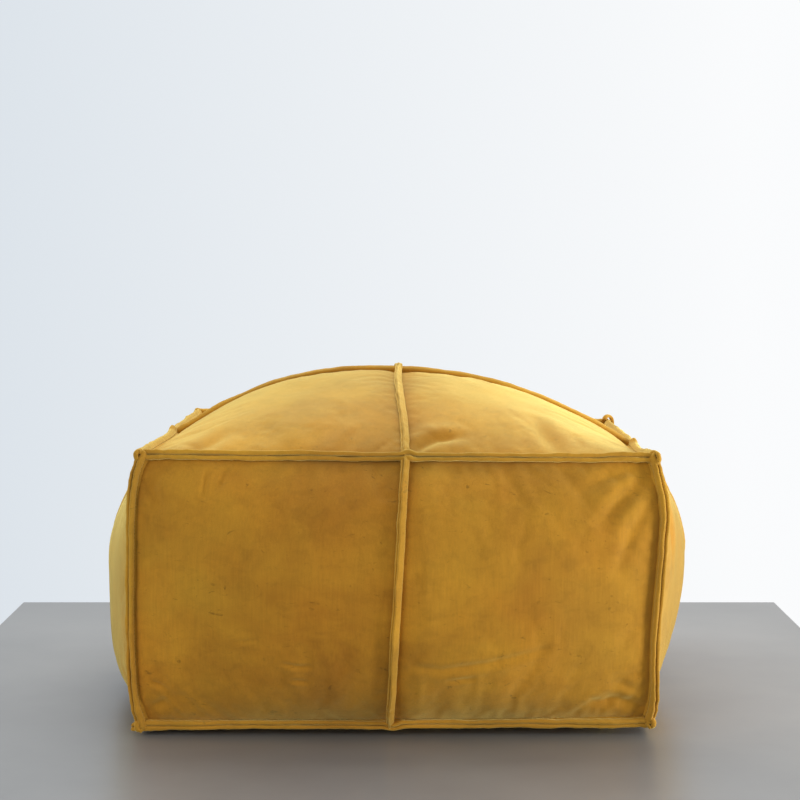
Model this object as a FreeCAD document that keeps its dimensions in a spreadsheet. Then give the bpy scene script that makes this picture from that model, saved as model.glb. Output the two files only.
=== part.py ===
import FreeCAD, Part
import Sketcher
import math
import os

from FreeCAD import Placement, Rotation, Vector

# Square velvet floor cushion with raised seams, a zipped cover, an inner bag and a loose filling.
#
# Frame: millimetres, +Z up, the front wall faces -Y, and the origin is on the floor under the
# middle of the cushion. Every curved piece lies on one family of surfaces, class Envelope, in which
# a face is a polynomial of second degree in two parameters, each from -1 to 1. A Bezier patch
# through nine points of such a face is exact, so neighbouring panels share their seams exactly.

OUT_FOLDER = "parts"
SHEET_NAME = "Dimensions"

# alias, value in millimetres or degrees, what it is
DRIVING_DIMENSIONS = (
    ("seam_span", 600.0, "straight distance between two corners along a top or base seam"),
    ("wall_height", 312.0, "base seam to top seam"),
    ("base_lift", 18.0, "height of the base seam above the floor"),
    ("base_flat", 440.0, "side of the flat square that the cushion rests on"),
    ("crown_rise", 78.0, "rise of the top's middle above its seams"),
    ("wall_bulge", 54.0, "bulge of a wall's middle beyond its seams"),
    ("seam_bow", 6.0, "outward bow of a top or base seam at its middle"),
    ("corner_bow", 12.0, "outward bow of an upright corner seam at half height"),
    ("cloth", 2.0, "thickness of the velvet"),
    ("ridge_height", 12.0, "how far a raised seam stands out"),
    ("ridge_ply", 4.0, "thickness of one of a raised seam's two folded edges"),
    ("thread_width", 1.2, "width of a line of topstitching"),
    ("thread_rise", 0.5, "how far the thread stands off the cloth"),
    ("thread_place", 3.0, "distance of the stitch line from the foot of a raised seam"),
    ("liner_gap", 0.5, "gap between cover and inner bag"),
    ("liner_cloth", 1.0, "thickness of the inner bag"),
    ("fill_gap", 0.3, "gap between inner bag and filling"),
    ("zip_room", 6.0, "extra room behind the back wall for the zip"),
    ("zip_height", 50.0, "height of the zip above the base seam"),
    ("zip_length", 450.0, "length of the zip's chain"),
    ("zip_opening", 12.0, "height of the slot between the two folded cloth edges"),
    ("tape_width", 15.0, "one tape, from the middle of the zip to its outer edge"),
    ("tape_depth", 2.9, "depth of the tapes' outer face below the cloth's surface"),
    ("tape_thickness", 0.7, "thickness of a tape"),
    ("coil_depth", 0.9, "depth of the coils' crest below the cloth's surface"),
    ("coil_width", 2.4, "width of one coil"),
    ("coil_gap", 1.9, "gap between the two coils, where the slider's neck runs"),
    ("slider_length", 14.0, "slider along the zip"),
    ("slider_width", 10.0, "slider across the zip"),
    ("plate_thickness", 1.2, "each of the slider's two plates"),
    ("plate_low", -0.3, "underside of the outer plate, from the cloth's surface"),
    ("rail_depth", 1.5, "how far the rails reach down from the outer plate"),
    ("rail_width", 0.9, "thickness of a rail"),
    ("inner_plate_depth", 4.6, "depth of the inner plate's outer face"),
    ("neck_width", 0.8, "thickness of the slider's neck"),
    ("neck_length", 5.5, "length of the slider's neck"),
    ("arch_length", 9.0, "arch that holds the pull, along the zip"),
    ("arch_width", 2.2, "arch across the zip"),
    ("arch_height", 4.4, "arch above the outer plate"),
    ("arch_wall", 1.3, "thickness of the arch"),
    ("pull_pivot", 2.5, "height of the pull's crossbar above the cloth's surface"),
    ("pull_thickness", 1.6, "thickness of the pull"),
    ("pull_width", 7.0, "width of the pull"),
    ("pull_length", 30.0, "pull from its crossbar to its tip"),
    ("pull_eye_length", 6.4, "inside length of the pull's eye"),
    ("pull_eye_width", 3.2, "inside width of the pull's eye"),
    ("pull_slot_length", 12.0, "slot in the pull's grip"),
    ("pull_slot_width", 2.4, "slot in the pull's grip"),
    ("pull_corner", 2.4, "corner radius of the pull's tip"),
    ("stop_length", 3.0, "a stop along the zip"),
    ("stop_gap", 1.0, "slider's clearance from a stop at the ends of its travel"),
    ("label_width", 42.0, "care label along the wall"),
    ("label_height", 24.0, "care label up the wall"),
    ("label_place", 150.0, "care label's middle from the middle of the back wall"),
    ("label_thickness", 0.6, "care label"),
)

ROOT_HALF = 1.0 / math.sqrt(2.0)
WALLS = {
    "front": (Vector(1, 0, 0), Vector(0, -1, 0)),
    "right": (Vector(0, 1, 0), Vector(1, 0, 0)),
    "back": (Vector(-1, 0, 0), Vector(0, 1, 0)),
    "left": (Vector(0, -1, 0), Vector(-1, 0, 0)),
}
EDGES = ("low", "high", "start", "end")
ALL_RIDGES = frozenset(EDGES)
WHOLE = (-1.0, 1.0)
FIRST_HALF, SECOND_HALF = (-1.0, 0.0), (0.0, 1.0)
THREAD_CLEARANCE = 0.05
LABEL_CLEARANCE = 0.1
TAB_CLEARANCE = 0.3
TAPE_END = 8.0
COIL_CLEARANCE = 0.1
STOP_RISE = 0.4
PULL_TIP_MARGIN = 5.0


def make_sheet(doc):
    """The spreadsheet of driving dimensions, one alias to a row."""
    sheet = doc.addObject("Spreadsheet::Sheet", SHEET_NAME)
    for row, (alias, value, note) in enumerate(DRIVING_DIMENSIONS, start=1):
        sheet.set(f"A{row}", alias)
        sheet.set(f"B{row}", str(value))
        sheet.setAlias(f"B{row}", alias)
        sheet.set(f"C{row}", note)
    doc.recompute()
    return sheet


class Dimensions:
    """The sheet's cells as attributes, for pieces whose shape is worked out in code."""

    def __init__(self, sheet):
        for alias, _, _ in DRIVING_DIMENSIONS:
            setattr(self, alias, float(sheet.get(alias)))


class Envelope:
    """The cushion's outline, drawn in by inset on every side and by back_room more at the back."""

    def __init__(self, dims, inset=0.0, back_room=0.0):
        self.half_x = dims.seam_span / 2 - inset
        self.half_y = self.half_x - back_room / 2
        self.centre = Vector(0, -back_room / 2, 0)
        self.low = dims.base_lift + inset
        self.high = dims.base_lift + dims.wall_height - inset
        self.flat_half = dims.base_flat / 2 - inset - back_room / 2
        self.floor = inset
        self.crown, self.bulge = dims.crown_rise, dims.wall_bulge
        self.bow, self.corner_bow = dims.seam_bow, dims.corner_bow

    def top(self, u, v):
        x = u * (self.half_x + self.bow * (1 - v * v))
        y = v * (self.half_y + self.bow * (1 - u * u))
        z = self.high + self.crown * (1 - u * u) * (1 - v * v)
        return self.centre + Vector(x, y, z)

    def wall(self, name, u, v):
        along, out = WALLS[name]
        half_along = self.half_x if along.x else self.half_y
        half_out = self.half_y if along.x else self.half_x
        corner = self.corner_bow * (1 - v * v)
        reach = half_out + corner + (1 - u * u) * (self.bow + self.bulge * (1 - v * v))
        height = (self.high + self.low) / 2 + v * (self.high - self.low) / 2
        return self.centre + along * (u * (half_along + corner)) + out * reach + Vector(0, 0, height)

    def wall_at(self, name, x, z):
        """The point of a wall that is x along it and at height z."""
        v = (2 * z - self.high - self.low) / (self.high - self.low)
        along = WALLS[name][0]
        half_along = self.half_x if along.x else self.half_y
        return self.wall(name, x / (half_along + self.corner_bow * (1 - v * v)), v)


def face_of(envelope, name):
    """One of an envelope's faces as a function of u and v."""
    if name == "top":
        return envelope.top
    return lambda u, v: envelope.wall(name, u, v)


def ridge_field(name):
    """Where a raised seam stands to, for a height of 1: the mean of the directions of its panels."""
    along, out = WALLS.get(name, (Vector(1, 0, 0), Vector(0, 0, 1)))
    upward = Vector(0, 1, 0) if name == "top" else Vector(0, 0, 1)

    def field(u, v):
        lean = 1 - (1 - ROOT_HALF) * (u * u + v * v - u * u * v * v)
        return along * (u * ROOT_HALF) + upward * (v * ROOT_HALF) + out * lean

    return field


def through(points):
    """The poles of the Bezier curve through two points, or through three at 0, a half and 1."""
    if len(points) == 2:
        return list(points)
    start, middle, end = points
    return [start, middle * 2 - (start + end) / 2, end]


def patch(rows):
    """The Bezier face through rows of points, two or three to a row."""
    rows = [through(row) for row in rows]
    columns = [through([row[j] for row in rows]) for j in range(len(rows[0]))]
    surface = Part.BezierSurface()
    surface.increase(len(columns[0]) - 1, len(columns) - 1)
    for j, column in enumerate(columns):
        for i, pole in enumerate(column):
            surface.setPole(i + 1, j + 1, pole)
    return surface.toShape()


def closed_solid(faces):
    """A solid from faces that share their edges."""
    shell = Part.Shell(faces)
    shell.sewShape()
    solid = Part.Solid(shell)
    if solid.Volume < 0:
        solid.reverse()
    if not solid.isValid() or not shell.isClosed():
        raise ValueError("the faces don't close")
    return solid


def thirds(low, high):
    return (low, (low + high) / 2, high)


def grid(face, u_range, v_range):
    return [[face(u, v) for u in thirds(*u_range)] for v in thirds(*v_range)]


def edge_parameters(edge, u_range, v_range):
    """Three (u, v) pairs along one edge of a panel."""
    if edge in ("low", "high"):
        v = v_range[0] if edge == "low" else v_range[1]
        return [(u, v) for u in thirds(*u_range)]
    u = u_range[0] if edge == "start" else u_range[1]
    return [(u, v) for v in thirds(*v_range)]


def panel_solid(dims, name, outer, inner, u_range, v_range, ridges):
    """A cloth panel whose edges named in ridges turn outward as one half of a raised seam.

    The two halves of a seam meet on the ruled face from the inner surface to the ridge's crest.
    Also returns, for each edge, its inner line, its crest, its shoulder and its foot.
    """
    field = ridge_field(name)
    outer, inner = face_of(outer, name), face_of(inner, name)
    u_step = dims.ridge_ply / (dims.seam_span / 2)
    v_step = u_step if name == "top" else dims.ridge_ply / (dims.wall_height / 2)
    u_foot = (u_range[0] + u_step * ("start" in ridges), u_range[1] - u_step * ("end" in ridges))
    v_foot = (v_range[0] + v_step * ("low" in ridges), v_range[1] - v_step * ("high" in ridges))
    faces = [patch(grid(outer, u_foot, v_foot)), patch(grid(inner, u_range, v_range))]
    rings = {}
    for edge in EDGES:
        seam = edge_parameters(edge, u_range, v_range)
        foot = [outer(u, v) for u, v in edge_parameters(edge, u_foot, v_foot)]
        rise = [field(u, v) * dims.ridge_height for u, v in seam]
        inside = [inner(u, v) for u, v in seam]
        crest = [outer(u, v) + r for (u, v), r in zip(seam, rise)]
        shoulder = [p + r for p, r in zip(foot, rise)]
        rings[edge] = (inside, crest, shoulder, foot)
        if edge in ridges:
            lines = (inside, crest, shoulder, foot)
            faces += [patch([a, b]) for a, b in zip(lines, lines[1:])]
        else:
            faces.append(patch([inside, foot]))
    for edge in ALL_RIDGES - ridges:
        neighbours = ("start", "end") if edge in ("low", "high") else ("low", "high")
        for neighbour, end in zip(neighbours, (0, -1)):
            if neighbour in ridges:
                inside, crest, shoulder, foot = (line[end] for line in rings[edge])
                faces.append(patch([[inside, crest], [foot, shoulder]]))
    return closed_solid(faces), rings


def stitch_solids(dims, rings, ridges):
    """The line of thread along each raised edge of a panel, a little off its cloth."""
    solids = []
    low = dims.thread_place / dims.ridge_height
    high = (dims.thread_place + dims.thread_width) / dims.ridge_height
    near, far = THREAD_CLEARANCE, THREAD_CLEARANCE + dims.thread_rise
    for edge in sorted(ridges):
        _, crest, shoulder, foot = rings[edge]
        away = [(s - c).normalize() for s, c in zip(shoulder, crest)]
        corners = []
        for share, off in ((low, near), (high, near), (high, far), (low, far)):
            points = [f + (s - f) * share + a * off for f, s, a in zip(foot, shoulder, away)]
            corners.append(shortened(points))
        solids.append(bar_solid(corners))
    return solids


def shortened(points, share=0.025):
    """The curve through three points, cut back at both ends by a share of its length."""
    start, control, end = through(points)

    def at(t):
        return start * (1 - t) ** 2 + control * (2 * t * (1 - t)) + end * t**2

    return [at(share), at(0.5), at(1 - share)]


def bar_solid(lines):
    """A bar between four long curves, given in order round its section."""
    faces = [patch([a, b]) for a, b in zip(lines, lines[1:] + lines[:1])]
    for end in (0, -1):
        a, b, c, d = (line[end] for line in lines)
        faces.append(patch([[a, b], [d, c]]))
    return closed_solid(faces)


def add_feature(doc, label, shape):
    feature = doc.addObject("Part::Feature", label)
    feature.Label = label
    feature.Shape = shape
    feature.Placement = Placement()
    return feature


# ---------------------------------------------------------------- cover


def zip_parameters(dims):
    """The wall parameters of the zip's middle and of the two cloth edges beside it."""
    half = dims.wall_height / 2
    middle = -1 + dims.zip_height / half
    return middle, middle - dims.zip_opening / 2 / half, middle + dims.zip_opening / 2 / half


def cover_panels(dims):
    """Each panel above the base: its label, face, u range, v range and raised edges."""
    _, zip_low, zip_high = zip_parameters(dims)
    panels = []
    for v_range, side in ((FIRST_HALF, "front"), (SECOND_HALF, "back")):
        for u_range, hand in ((FIRST_HALF, "left"), (SECOND_HALF, "right")):
            panels.append((f"top_panel_{side}_{hand}", "top", u_range, v_range, ALL_RIDGES))
    for wall, first, second in (
        ("front", "left", "right"),
        ("right", "front", "back"),
        ("left", "back", "front"),
    ):
        panels.append((f"{wall}_panel_{first}", wall, FIRST_HALF, WHOLE, ALL_RIDGES))
        panels.append((f"{wall}_panel_{second}", wall, SECOND_HALF, WHOLE, ALL_RIDGES))
    above_zip, under_zip = ALL_RIDGES - {"low"}, ALL_RIDGES - {"high"}
    panels.append(("back_panel_right", "back", FIRST_HALF, (zip_high, 1.0), above_zip))
    panels.append(("back_panel_left", "back", SECOND_HALF, (zip_high, 1.0), above_zip))
    panels.append(("back_zip_strip", "back", WHOLE, (-1.0, zip_low), under_zip))
    return panels


def add_cover(doc, dims):
    """The velvet panels with their raised seams, and the lines of topstitching on them."""
    outer, inner = Envelope(dims), Envelope(dims, inset=dims.cloth)
    threads = {}
    for label, face, u_range, v_range, ridges in cover_panels(dims):
        solid, rings = panel_solid(dims, face, outer, inner, u_range, v_range, ridges)
        add_feature(doc, label, solid)
        threads.setdefault(face, []).extend(stitch_solids(dims, rings, ridges))
    solid, rings = base_solid(dims, outer, inner)
    add_feature(doc, "base_panel", solid)
    threads["base"] = stitch_solids(dims, rings, EDGES)
    for face, solids in threads.items():
        add_feature(doc, f"topstitching_{face}", Part.makeCompound(solids))


def base_rings(envelope):
    """The base's seam and the flat square inside it, as three points to an edge."""
    seam, flat = {}, {}
    half, floor = envelope.flat_half, envelope.floor
    for edge in EDGES:
        pairs = edge_parameters(edge, WHOLE, WHOLE)
        seam[edge] = []
        for u, v in pairs:
            point = envelope.top(u, v)
            seam[edge].append(Vector(point.x, point.y, envelope.low))
        flat[edge] = [envelope.centre + Vector(u * half, v * half, floor) for u, v in pairs]
    return seam, flat


def flat_square(flat):
    """The plane face inside the flat square's four edges."""
    low, high = flat["low"], flat["high"]
    return Part.Face(Part.makePolygon([low[0], low[2], high[2], high[0], low[0]]))


def base_solid(dims, outer, inner):
    """The base panel: a flat square that rests on the floor, with borders that rise to the seam."""
    seam, flat = base_rings(outer)
    inside, flat_inside = base_rings(inner)
    margin = (dims.seam_span - dims.base_flat) / 2
    share = dims.ridge_ply / margin
    faces, rings = [], {}
    for edge in EDGES:
        rise = []
        for u, v in edge_parameters(edge, WHOLE, WHOLE):
            rise.append(Vector(u, v, -1) * (ROOT_HALF * dims.ridge_height))
        crest = [p + r for p, r in zip(seam[edge], rise)]
        foot = [p + (f - p) * share for p, f in zip(seam[edge], flat[edge])]
        shoulder = [p + r for p, r in zip(foot, rise)]
        rings[edge] = (inside[edge], crest, shoulder, foot)
        pairs = (
            (inside[edge], crest), (crest, shoulder), (shoulder, foot),
            (foot, flat[edge]), (inside[edge], flat_inside[edge]),
        )
        faces += [patch([a, b]) for a, b in pairs]
    faces += [flat_square(flat), flat_square(flat_inside)]
    return closed_solid(faces), rings


# ---------------------------------------------------------------- inner bag and filling


def add_liner_and_filling(doc, dims):
    """The inner bag's six panels, and the loose filling as one solid."""
    first = dims.cloth + dims.liner_gap
    second = first + dims.liner_cloth
    outer = Envelope(dims, first, dims.zip_room)
    inner = Envelope(dims, second, dims.zip_room)
    fill = Envelope(dims, second + dims.fill_gap, dims.zip_room)
    for name in ("top", *WALLS):
        solid, _ = panel_solid(dims, name, outer, inner, WHOLE, WHOLE, frozenset())
        add_feature(doc, f"liner_{name}", solid)
    add_feature(doc, "liner_base", liner_base_solid(outer, inner))
    faces = [patch(grid(face_of(fill, name), WHOLE, WHOLE)) for name in ("top", *WALLS)]
    faces += base_faces(fill)
    add_feature(doc, "filling", closed_solid(faces))


def base_faces(envelope):
    """The underside of an envelope: four borders and the flat square."""
    seam, flat = base_rings(envelope)
    return [patch([seam[edge], flat[edge]]) for edge in EDGES] + [flat_square(flat)]


def liner_base_solid(outer, inner):
    outer_seam, _ = base_rings(outer)
    inner_seam, _ = base_rings(inner)
    rims = [patch([outer_seam[edge], inner_seam[edge]]) for edge in EDGES]
    return closed_solid(base_faces(outer) + base_faces(inner) + rims)


# ---------------------------------------------------------------- zip


class ZipPath:
    """The line of the zip along the back wall: x runs from side to side, depth goes into the cloth."""

    def __init__(self, dims):
        self.envelope = Envelope(dims)
        self.height = dims.base_lift + dims.zip_height
        middle, end = self.surface(0, 0), self.surface(dims.zip_length / 2, 0)
        rise, reach = middle.y - end.y, dims.zip_length / 2
        self.radius = (reach * reach + rise * rise) / (2 * rise)
        self.centre = Vector(0, middle.y - self.radius, self.height)
        self.tilt = (self.lean(0) + self.lean(dims.zip_length / 2)) / 2

    def surface(self, x, up):
        return self.envelope.wall_at("back", -x, self.height + up)

    def lean(self, x):
        """How far the wall leans out of upright at x, in degrees."""
        rise = self.surface(x, 1) - self.surface(x, -1)
        return math.degrees(math.atan2(rise.y, rise.z))

    def point(self, x, up, depth):
        """The point that lies at that depth under the cloth's surface, square to it."""
        here = self.surface(x, up)
        across = self.surface(x + 1, up) - self.surface(x - 1, up)
        upward = self.surface(x, up + 1) - self.surface(x, up - 1)
        outward = upward.cross(across)
        if outward.y < 0:
            outward = outward * -1
        return here - outward.normalize() * depth

    def strip(self, x_range, up_range, depth_range):
        """A closed strip that follows the wall."""
        layers = [
            [[self.point(x, up, depth) for x in thirds(*x_range)] for up in thirds(*up_range)]
            for depth in depth_range
        ]
        faces = [patch(layer) for layer in layers]
        first, second = layers
        for row in (0, -1):
            faces.append(patch([first[row], second[row]]))
        for column in (0, -1):
            faces.append(patch([[row[column] for row in first], [row[column] for row in second]]))
        return closed_solid(faces)

    def slider_placement(self, x):
        """A slider's pose at x: its own X runs along the zip, Y up the wall and Z outward."""
        turn = math.degrees(math.asin(x / self.radius))
        outward = Rotation(Vector(1, 0, 0), 90) * Rotation(Vector(0, 1, 0), 180)
        lean = Rotation(Vector(1, 0, 0), -self.tilt)
        swing = Rotation(Vector(0, 0, 1), -turn)
        arm = Vector(0, self.radius, 0)
        return Placement(self.centre + swing.multVec(arm), swing * lean * outward)


def add_zip(doc, dims):
    """Tapes, coils, stops, end tabs, care label, slider and pull."""
    path = ZipPath(dims)
    half = dims.zip_length / 2
    tape_half = half + TAPE_END
    tape = (dims.tape_depth, dims.tape_depth + dims.tape_thickness)
    coil = (dims.coil_depth, dims.tape_depth - COIL_CLEARANCE)
    gap = dims.coil_gap / 2
    for name, sign in (("upper", 1), ("lower", -1)):
        ups = sorted((sign * gap, sign * dims.tape_width))
        add_feature(doc, f"zip_tape_{name}", path.strip((-tape_half, tape_half), ups, tape))
        ups = sorted((sign * gap, sign * (gap + dims.coil_width)))
        add_feature(doc, f"zip_coil_{name}", path.strip((-half, half), ups, coil))
    stop_depths = (dims.coil_depth - STOP_RISE, coil[1])
    ends = (half, half + dims.stop_length)
    tops = [
        path.strip(ends, sorted((sign * gap, sign * (gap + dims.coil_width))), stop_depths)
        for sign in (1, -1)
    ]
    add_feature(doc, "zip_top_stops", Part.makeCompound(tops))
    width = gap + dims.coil_width
    ends = (-half - dims.stop_length, -half)
    add_feature(doc, "zip_bottom_stop", path.strip(ends, (-width, width), stop_depths))
    add_end_tabs(doc, dims)
    add_label(doc, dims, path)
    slider_x = half - dims.slider_length / 2 - dims.stop_gap
    place = path.slider_placement(slider_x)
    add_slider(doc, place)
    add_pull(doc, place)
    print_joints(path, slider_x, place, dims.pull_pivot)


def add_end_tabs(doc, dims):
    """Cloth tabs that close the slot between each end of the zip and the corner seams."""
    outer, inner = Envelope(dims, dims.cloth * 0.1), Envelope(dims, dims.cloth)
    _, low, high = zip_parameters(dims)
    clear = TAB_CLEARANCE / (dims.wall_height / 2)
    start = (dims.zip_length / 2 + TAPE_END) / (dims.seam_span / 2)
    v_range = (low + clear, high - clear)
    for name, u_range in (("right", (-1.0, -start)), ("left", (start, 1.0))):
        solid, _ = panel_solid(dims, "back", outer, inner, u_range, v_range, frozenset())
        add_feature(doc, f"zip_end_tab_{name}", solid)


def add_label(doc, dims, path):
    """A blank care label sewn flat on the strip under the zip."""
    x = (dims.label_place - dims.label_width / 2, dims.label_place + dims.label_width / 2)
    middle = -dims.zip_height / 2
    up = (middle - dims.label_height / 2, middle + dims.label_height / 2)
    depths = (-dims.label_thickness - LABEL_CLEARANCE, -LABEL_CLEARANCE)
    add_feature(doc, "care_label", path.strip(x, up, depths))


def cell(expression):
    """An expression in aliases, such as 'slider_width / 2', with each alias made a cell address."""
    words = []
    for word in expression.split():
        sign = "-" if word.startswith("-") and len(word) > 1 and word[1].isalpha() else ""
        bare = word[len(sign):]
        words.append(sign + (f"<<{SHEET_NAME}>>.{bare}" if bare[0].isalpha() else bare))
    return " ".join(words)


def rectangle(body, name, plane, x_range, y_range, offset=None):
    """A sketch of one rectangle on a base plane of body, its four sides bound to the sheet."""
    sketch = body.newObject("Sketcher::SketchObject", name)
    origin = [f for f in body.Origin.OriginFeatures if f.Role == plane][0]
    sketch.AttachmentSupport = [(origin, "")]
    sketch.MapMode = "FlatFace"
    if offset:
        sketch.setExpression("AttachmentOffset.Base.z", cell(offset))
    corners = [Vector(0, 0, 0), Vector(9, 0, 0), Vector(9, 9, 0), Vector(0, 9, 0)]
    for a, b in zip(corners, corners[1:] + corners[:1]):
        sketch.addGeometry(Part.LineSegment(a, b), False)
    # a line's start is its point 1 and its end point 2, and the origin is point 1 of line -1
    start, end, origin_line = 1, 2, -1
    for line in range(4):
        sketch.addConstraint(Sketcher.Constraint("Coincident", line, end, (line + 1) % 4, start))
    for line in range(4):
        kind = "Horizontal" if line % 2 == 0 else "Vertical"
        sketch.addConstraint(Sketcher.Constraint(kind, line))
    for kind, line, value, expression in (
        ("DistanceX", 0, -1.0, x_range[0]), ("DistanceX", 2, 9.0, x_range[1]),
        ("DistanceY", 0, -1.0, y_range[0]), ("DistanceY", 2, 9.0, y_range[1]),
    ):
        index = sketch.addConstraint(Sketcher.Constraint(kind, origin_line, 1, line, start, value))
        sketch.setExpression(f"Constraints[{index}]", cell(expression))
    return sketch


def pad(body, name, sketch, length):
    """A pad along the sketch's normal."""
    feature = body.newObject("PartDesign::Pad", name)
    feature.Profile = sketch
    feature.setExpression("Length", cell(length))
    sketch.Visibility = False
    return feature


def block(body, name, x_range, y_range, bottom, height):
    """A pad from a rectangle in the body's XY plane."""
    sketch = rectangle(body, f"{name}_sketch", "XY_Plane", x_range, y_range, bottom)
    return pad(body, name, sketch, height)


def symmetric_range(width):
    return (f"-{width} / 2", f"{width} / 2")


def through_pocket(body, name, sketch):
    """A pocket that goes right through, both ways."""
    feature = body.newObject("PartDesign::Pocket", name)
    feature.Profile = sketch
    feature.Type = "ThroughAll"
    feature.Midplane = True
    return feature


def add_slider(doc, place):
    """The slider: two plates joined by a neck, rails beside the chain, and the arch for the pull."""
    body = doc.addObject("PartDesign::Body", "zip_slider")
    body.Label = "zip_slider"
    across = symmetric_range("slider_width")
    along = symmetric_range("slider_length")
    neck = ("-slider_length / 2 + 1", "-slider_length / 2 + neck_length + 1")
    upper = ("slider_width / 2 - rail_width", "slider_width / 2")
    lower = ("-slider_width / 2", "-slider_width / 2 + rail_width")
    arch = symmetric_range("arch_length")
    # name, range along the zip, range across it, lowest point, height
    for name, x_range, y_range, bottom, height in (
        ("neck", neck, symmetric_range("neck_width"), "-inner_plate_depth - plate_thickness / 2",
         "inner_plate_depth + plate_low + plate_thickness"),
        ("outer_plate", along, across, "plate_low", "plate_thickness"),
        ("inner_plate", along, across, "-inner_plate_depth - plate_thickness", "plate_thickness"),
        ("upper_rail", along, upper, "plate_low - rail_depth", "rail_depth + plate_thickness / 2"),
        ("lower_rail", along, lower, "plate_low - rail_depth", "rail_depth + plate_thickness / 2"),
        ("arch", arch, symmetric_range("arch_width"), "plate_low + plate_thickness / 2",
         "arch_height + plate_thickness / 2"),
    ):
        block(body, name, x_range, y_range, bottom, height)
    doc.recompute()
    eye = rectangle(
        body, "arch_eye_sketch", "XZ_Plane",
        ("-arch_length / 2 + arch_wall", "arch_length / 2 - arch_wall"),
        ("plate_low + plate_thickness", "plate_low + plate_thickness + arch_height - arch_wall"),
    )
    through_pocket(body, "arch_eye", eye)
    doc.recompute()
    body.Placement = place
    return body


def add_pull(doc, place):
    """The pull: a flat tab with an eye whose crossbar turns in the slider's arch."""
    body = doc.addObject("PartDesign::Body", "zip_pull")
    body.Label = "zip_pull"
    block(body, "tab", ("-pull_thickness / 2", "pull_length"), symmetric_range("pull_width"),
          "pull_pivot - pull_thickness / 2", "pull_thickness")
    doc.recompute()
    eye = rectangle(
        body, "eye_sketch", "XY_Plane",
        ("pull_thickness / 2", "pull_thickness / 2 + pull_eye_length"),
        symmetric_range("pull_eye_width"),
    )
    through_pocket(body, "eye", eye)
    doc.recompute()
    slot = rectangle(
        body, "grip_slot_sketch", "XY_Plane",
        (f"pull_length - pull_slot_length - {PULL_TIP_MARGIN}", f"pull_length - {PULL_TIP_MARGIN}"),
        symmetric_range("pull_slot_width"),
    )
    last = through_pocket(body, "grip_slot", slot)
    doc.recompute()
    tip_edges = tip_edge_names(last.Shape)
    fillet = body.newObject("PartDesign::Fillet", "tip_corners")
    fillet.Base = (last, tip_edges)
    fillet.setExpression("Radius", cell("pull_corner"))
    doc.recompute()
    body.Placement = place
    return body


def tip_edge_names(shape):
    """The two upright edges at the end of the pull furthest from its crossbar."""
    far = shape.BoundBox.XMax
    names = []
    for number, edge in enumerate(shape.Edges, start=1):
        ends = [vertex.Point for vertex in edge.Vertexes]
        at_tip = all(abs(point.x - far) < 1e-6 for point in ends)
        if at_tip and len(ends) == 2 and abs(ends[0].z - ends[1].z) > 0.1:
            names.append(f"Edge{number}")
    return names


def print_joints(path, slider_x, place, pull_pivot):
    """Prints the axes of the slider's travel and of the pull's hinge."""
    sweep = 2 * math.degrees(math.asin(slider_x / path.radius))
    print("slider turns about", path.centre, "radius", round(path.radius, 2))
    print("whole travel", round(sweep, 3), "degrees; lean", round(path.tilt, 2))
    print("pull turns about", place.multVec(Vector(0, 0, pull_pivot)))
    print("pull axis", place.Rotation.multVec(Vector(0, 1, 0)))


def export(doc):
    """Checks every object, then writes each sub-part to its own STEP file."""
    for item in doc.Objects:
        if {"Invalid", "Error"} & set(item.State):
            raise RuntimeError(f"{item.Name} is {item.State}")
    kinds = ("Part::Feature", "PartDesign::Body")
    sub_parts = [item for item in doc.Objects if item.TypeId in kinds]
    for item in sub_parts:
        if item.Shape.isNull() or not item.Shape.isValid():
            raise RuntimeError(f"{item.Label} has no valid shape")
    os.makedirs(OUT_FOLDER, exist_ok=True)
    for item in sub_parts:
        item.Shape.exportStep(os.path.join(OUT_FOLDER, f"{item.Label}.step"))
    print(f"{len(sub_parts)} sub-parts written")


def main():
    doc = FreeCAD.newDocument("floor_cushion")
    sheet = make_sheet(doc)
    dims = Dimensions(sheet)
    add_cover(doc, dims)
    add_liner_and_filling(doc, dims)
    add_zip(doc, dims)
    doc.recompute()
    export(doc)


main()
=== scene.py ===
import math

import bpy
import numpy as np
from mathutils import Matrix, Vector


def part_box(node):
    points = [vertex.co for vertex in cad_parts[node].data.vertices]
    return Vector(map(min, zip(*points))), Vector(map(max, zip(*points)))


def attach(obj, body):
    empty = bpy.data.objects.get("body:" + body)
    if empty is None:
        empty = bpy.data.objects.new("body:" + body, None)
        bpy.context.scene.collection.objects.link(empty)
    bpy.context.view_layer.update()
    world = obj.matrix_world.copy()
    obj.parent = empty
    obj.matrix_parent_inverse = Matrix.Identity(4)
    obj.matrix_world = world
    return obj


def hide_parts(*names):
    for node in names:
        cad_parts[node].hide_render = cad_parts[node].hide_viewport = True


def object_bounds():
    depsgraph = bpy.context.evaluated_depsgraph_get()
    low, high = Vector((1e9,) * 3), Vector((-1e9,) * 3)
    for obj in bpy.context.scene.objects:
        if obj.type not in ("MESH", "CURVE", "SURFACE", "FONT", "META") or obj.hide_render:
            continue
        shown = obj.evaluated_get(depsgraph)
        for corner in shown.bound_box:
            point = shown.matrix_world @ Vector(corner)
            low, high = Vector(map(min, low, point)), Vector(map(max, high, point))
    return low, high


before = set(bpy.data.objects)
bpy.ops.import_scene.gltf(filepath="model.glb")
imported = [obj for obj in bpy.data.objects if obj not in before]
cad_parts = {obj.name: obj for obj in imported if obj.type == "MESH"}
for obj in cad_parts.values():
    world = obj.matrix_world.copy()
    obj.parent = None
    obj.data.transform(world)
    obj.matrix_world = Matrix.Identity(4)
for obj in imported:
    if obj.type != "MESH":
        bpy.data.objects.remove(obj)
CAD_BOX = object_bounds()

# The cushion's smooth outline, in metres. Heights and the zip's place are read from the frame.
RIDGE = 0.012
ROOT_HALF = math.sqrt(0.5)
FLOOR_GAP = 0.0002
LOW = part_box("front_panel_left")[0].z + RIDGE * ROOT_HALF
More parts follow.
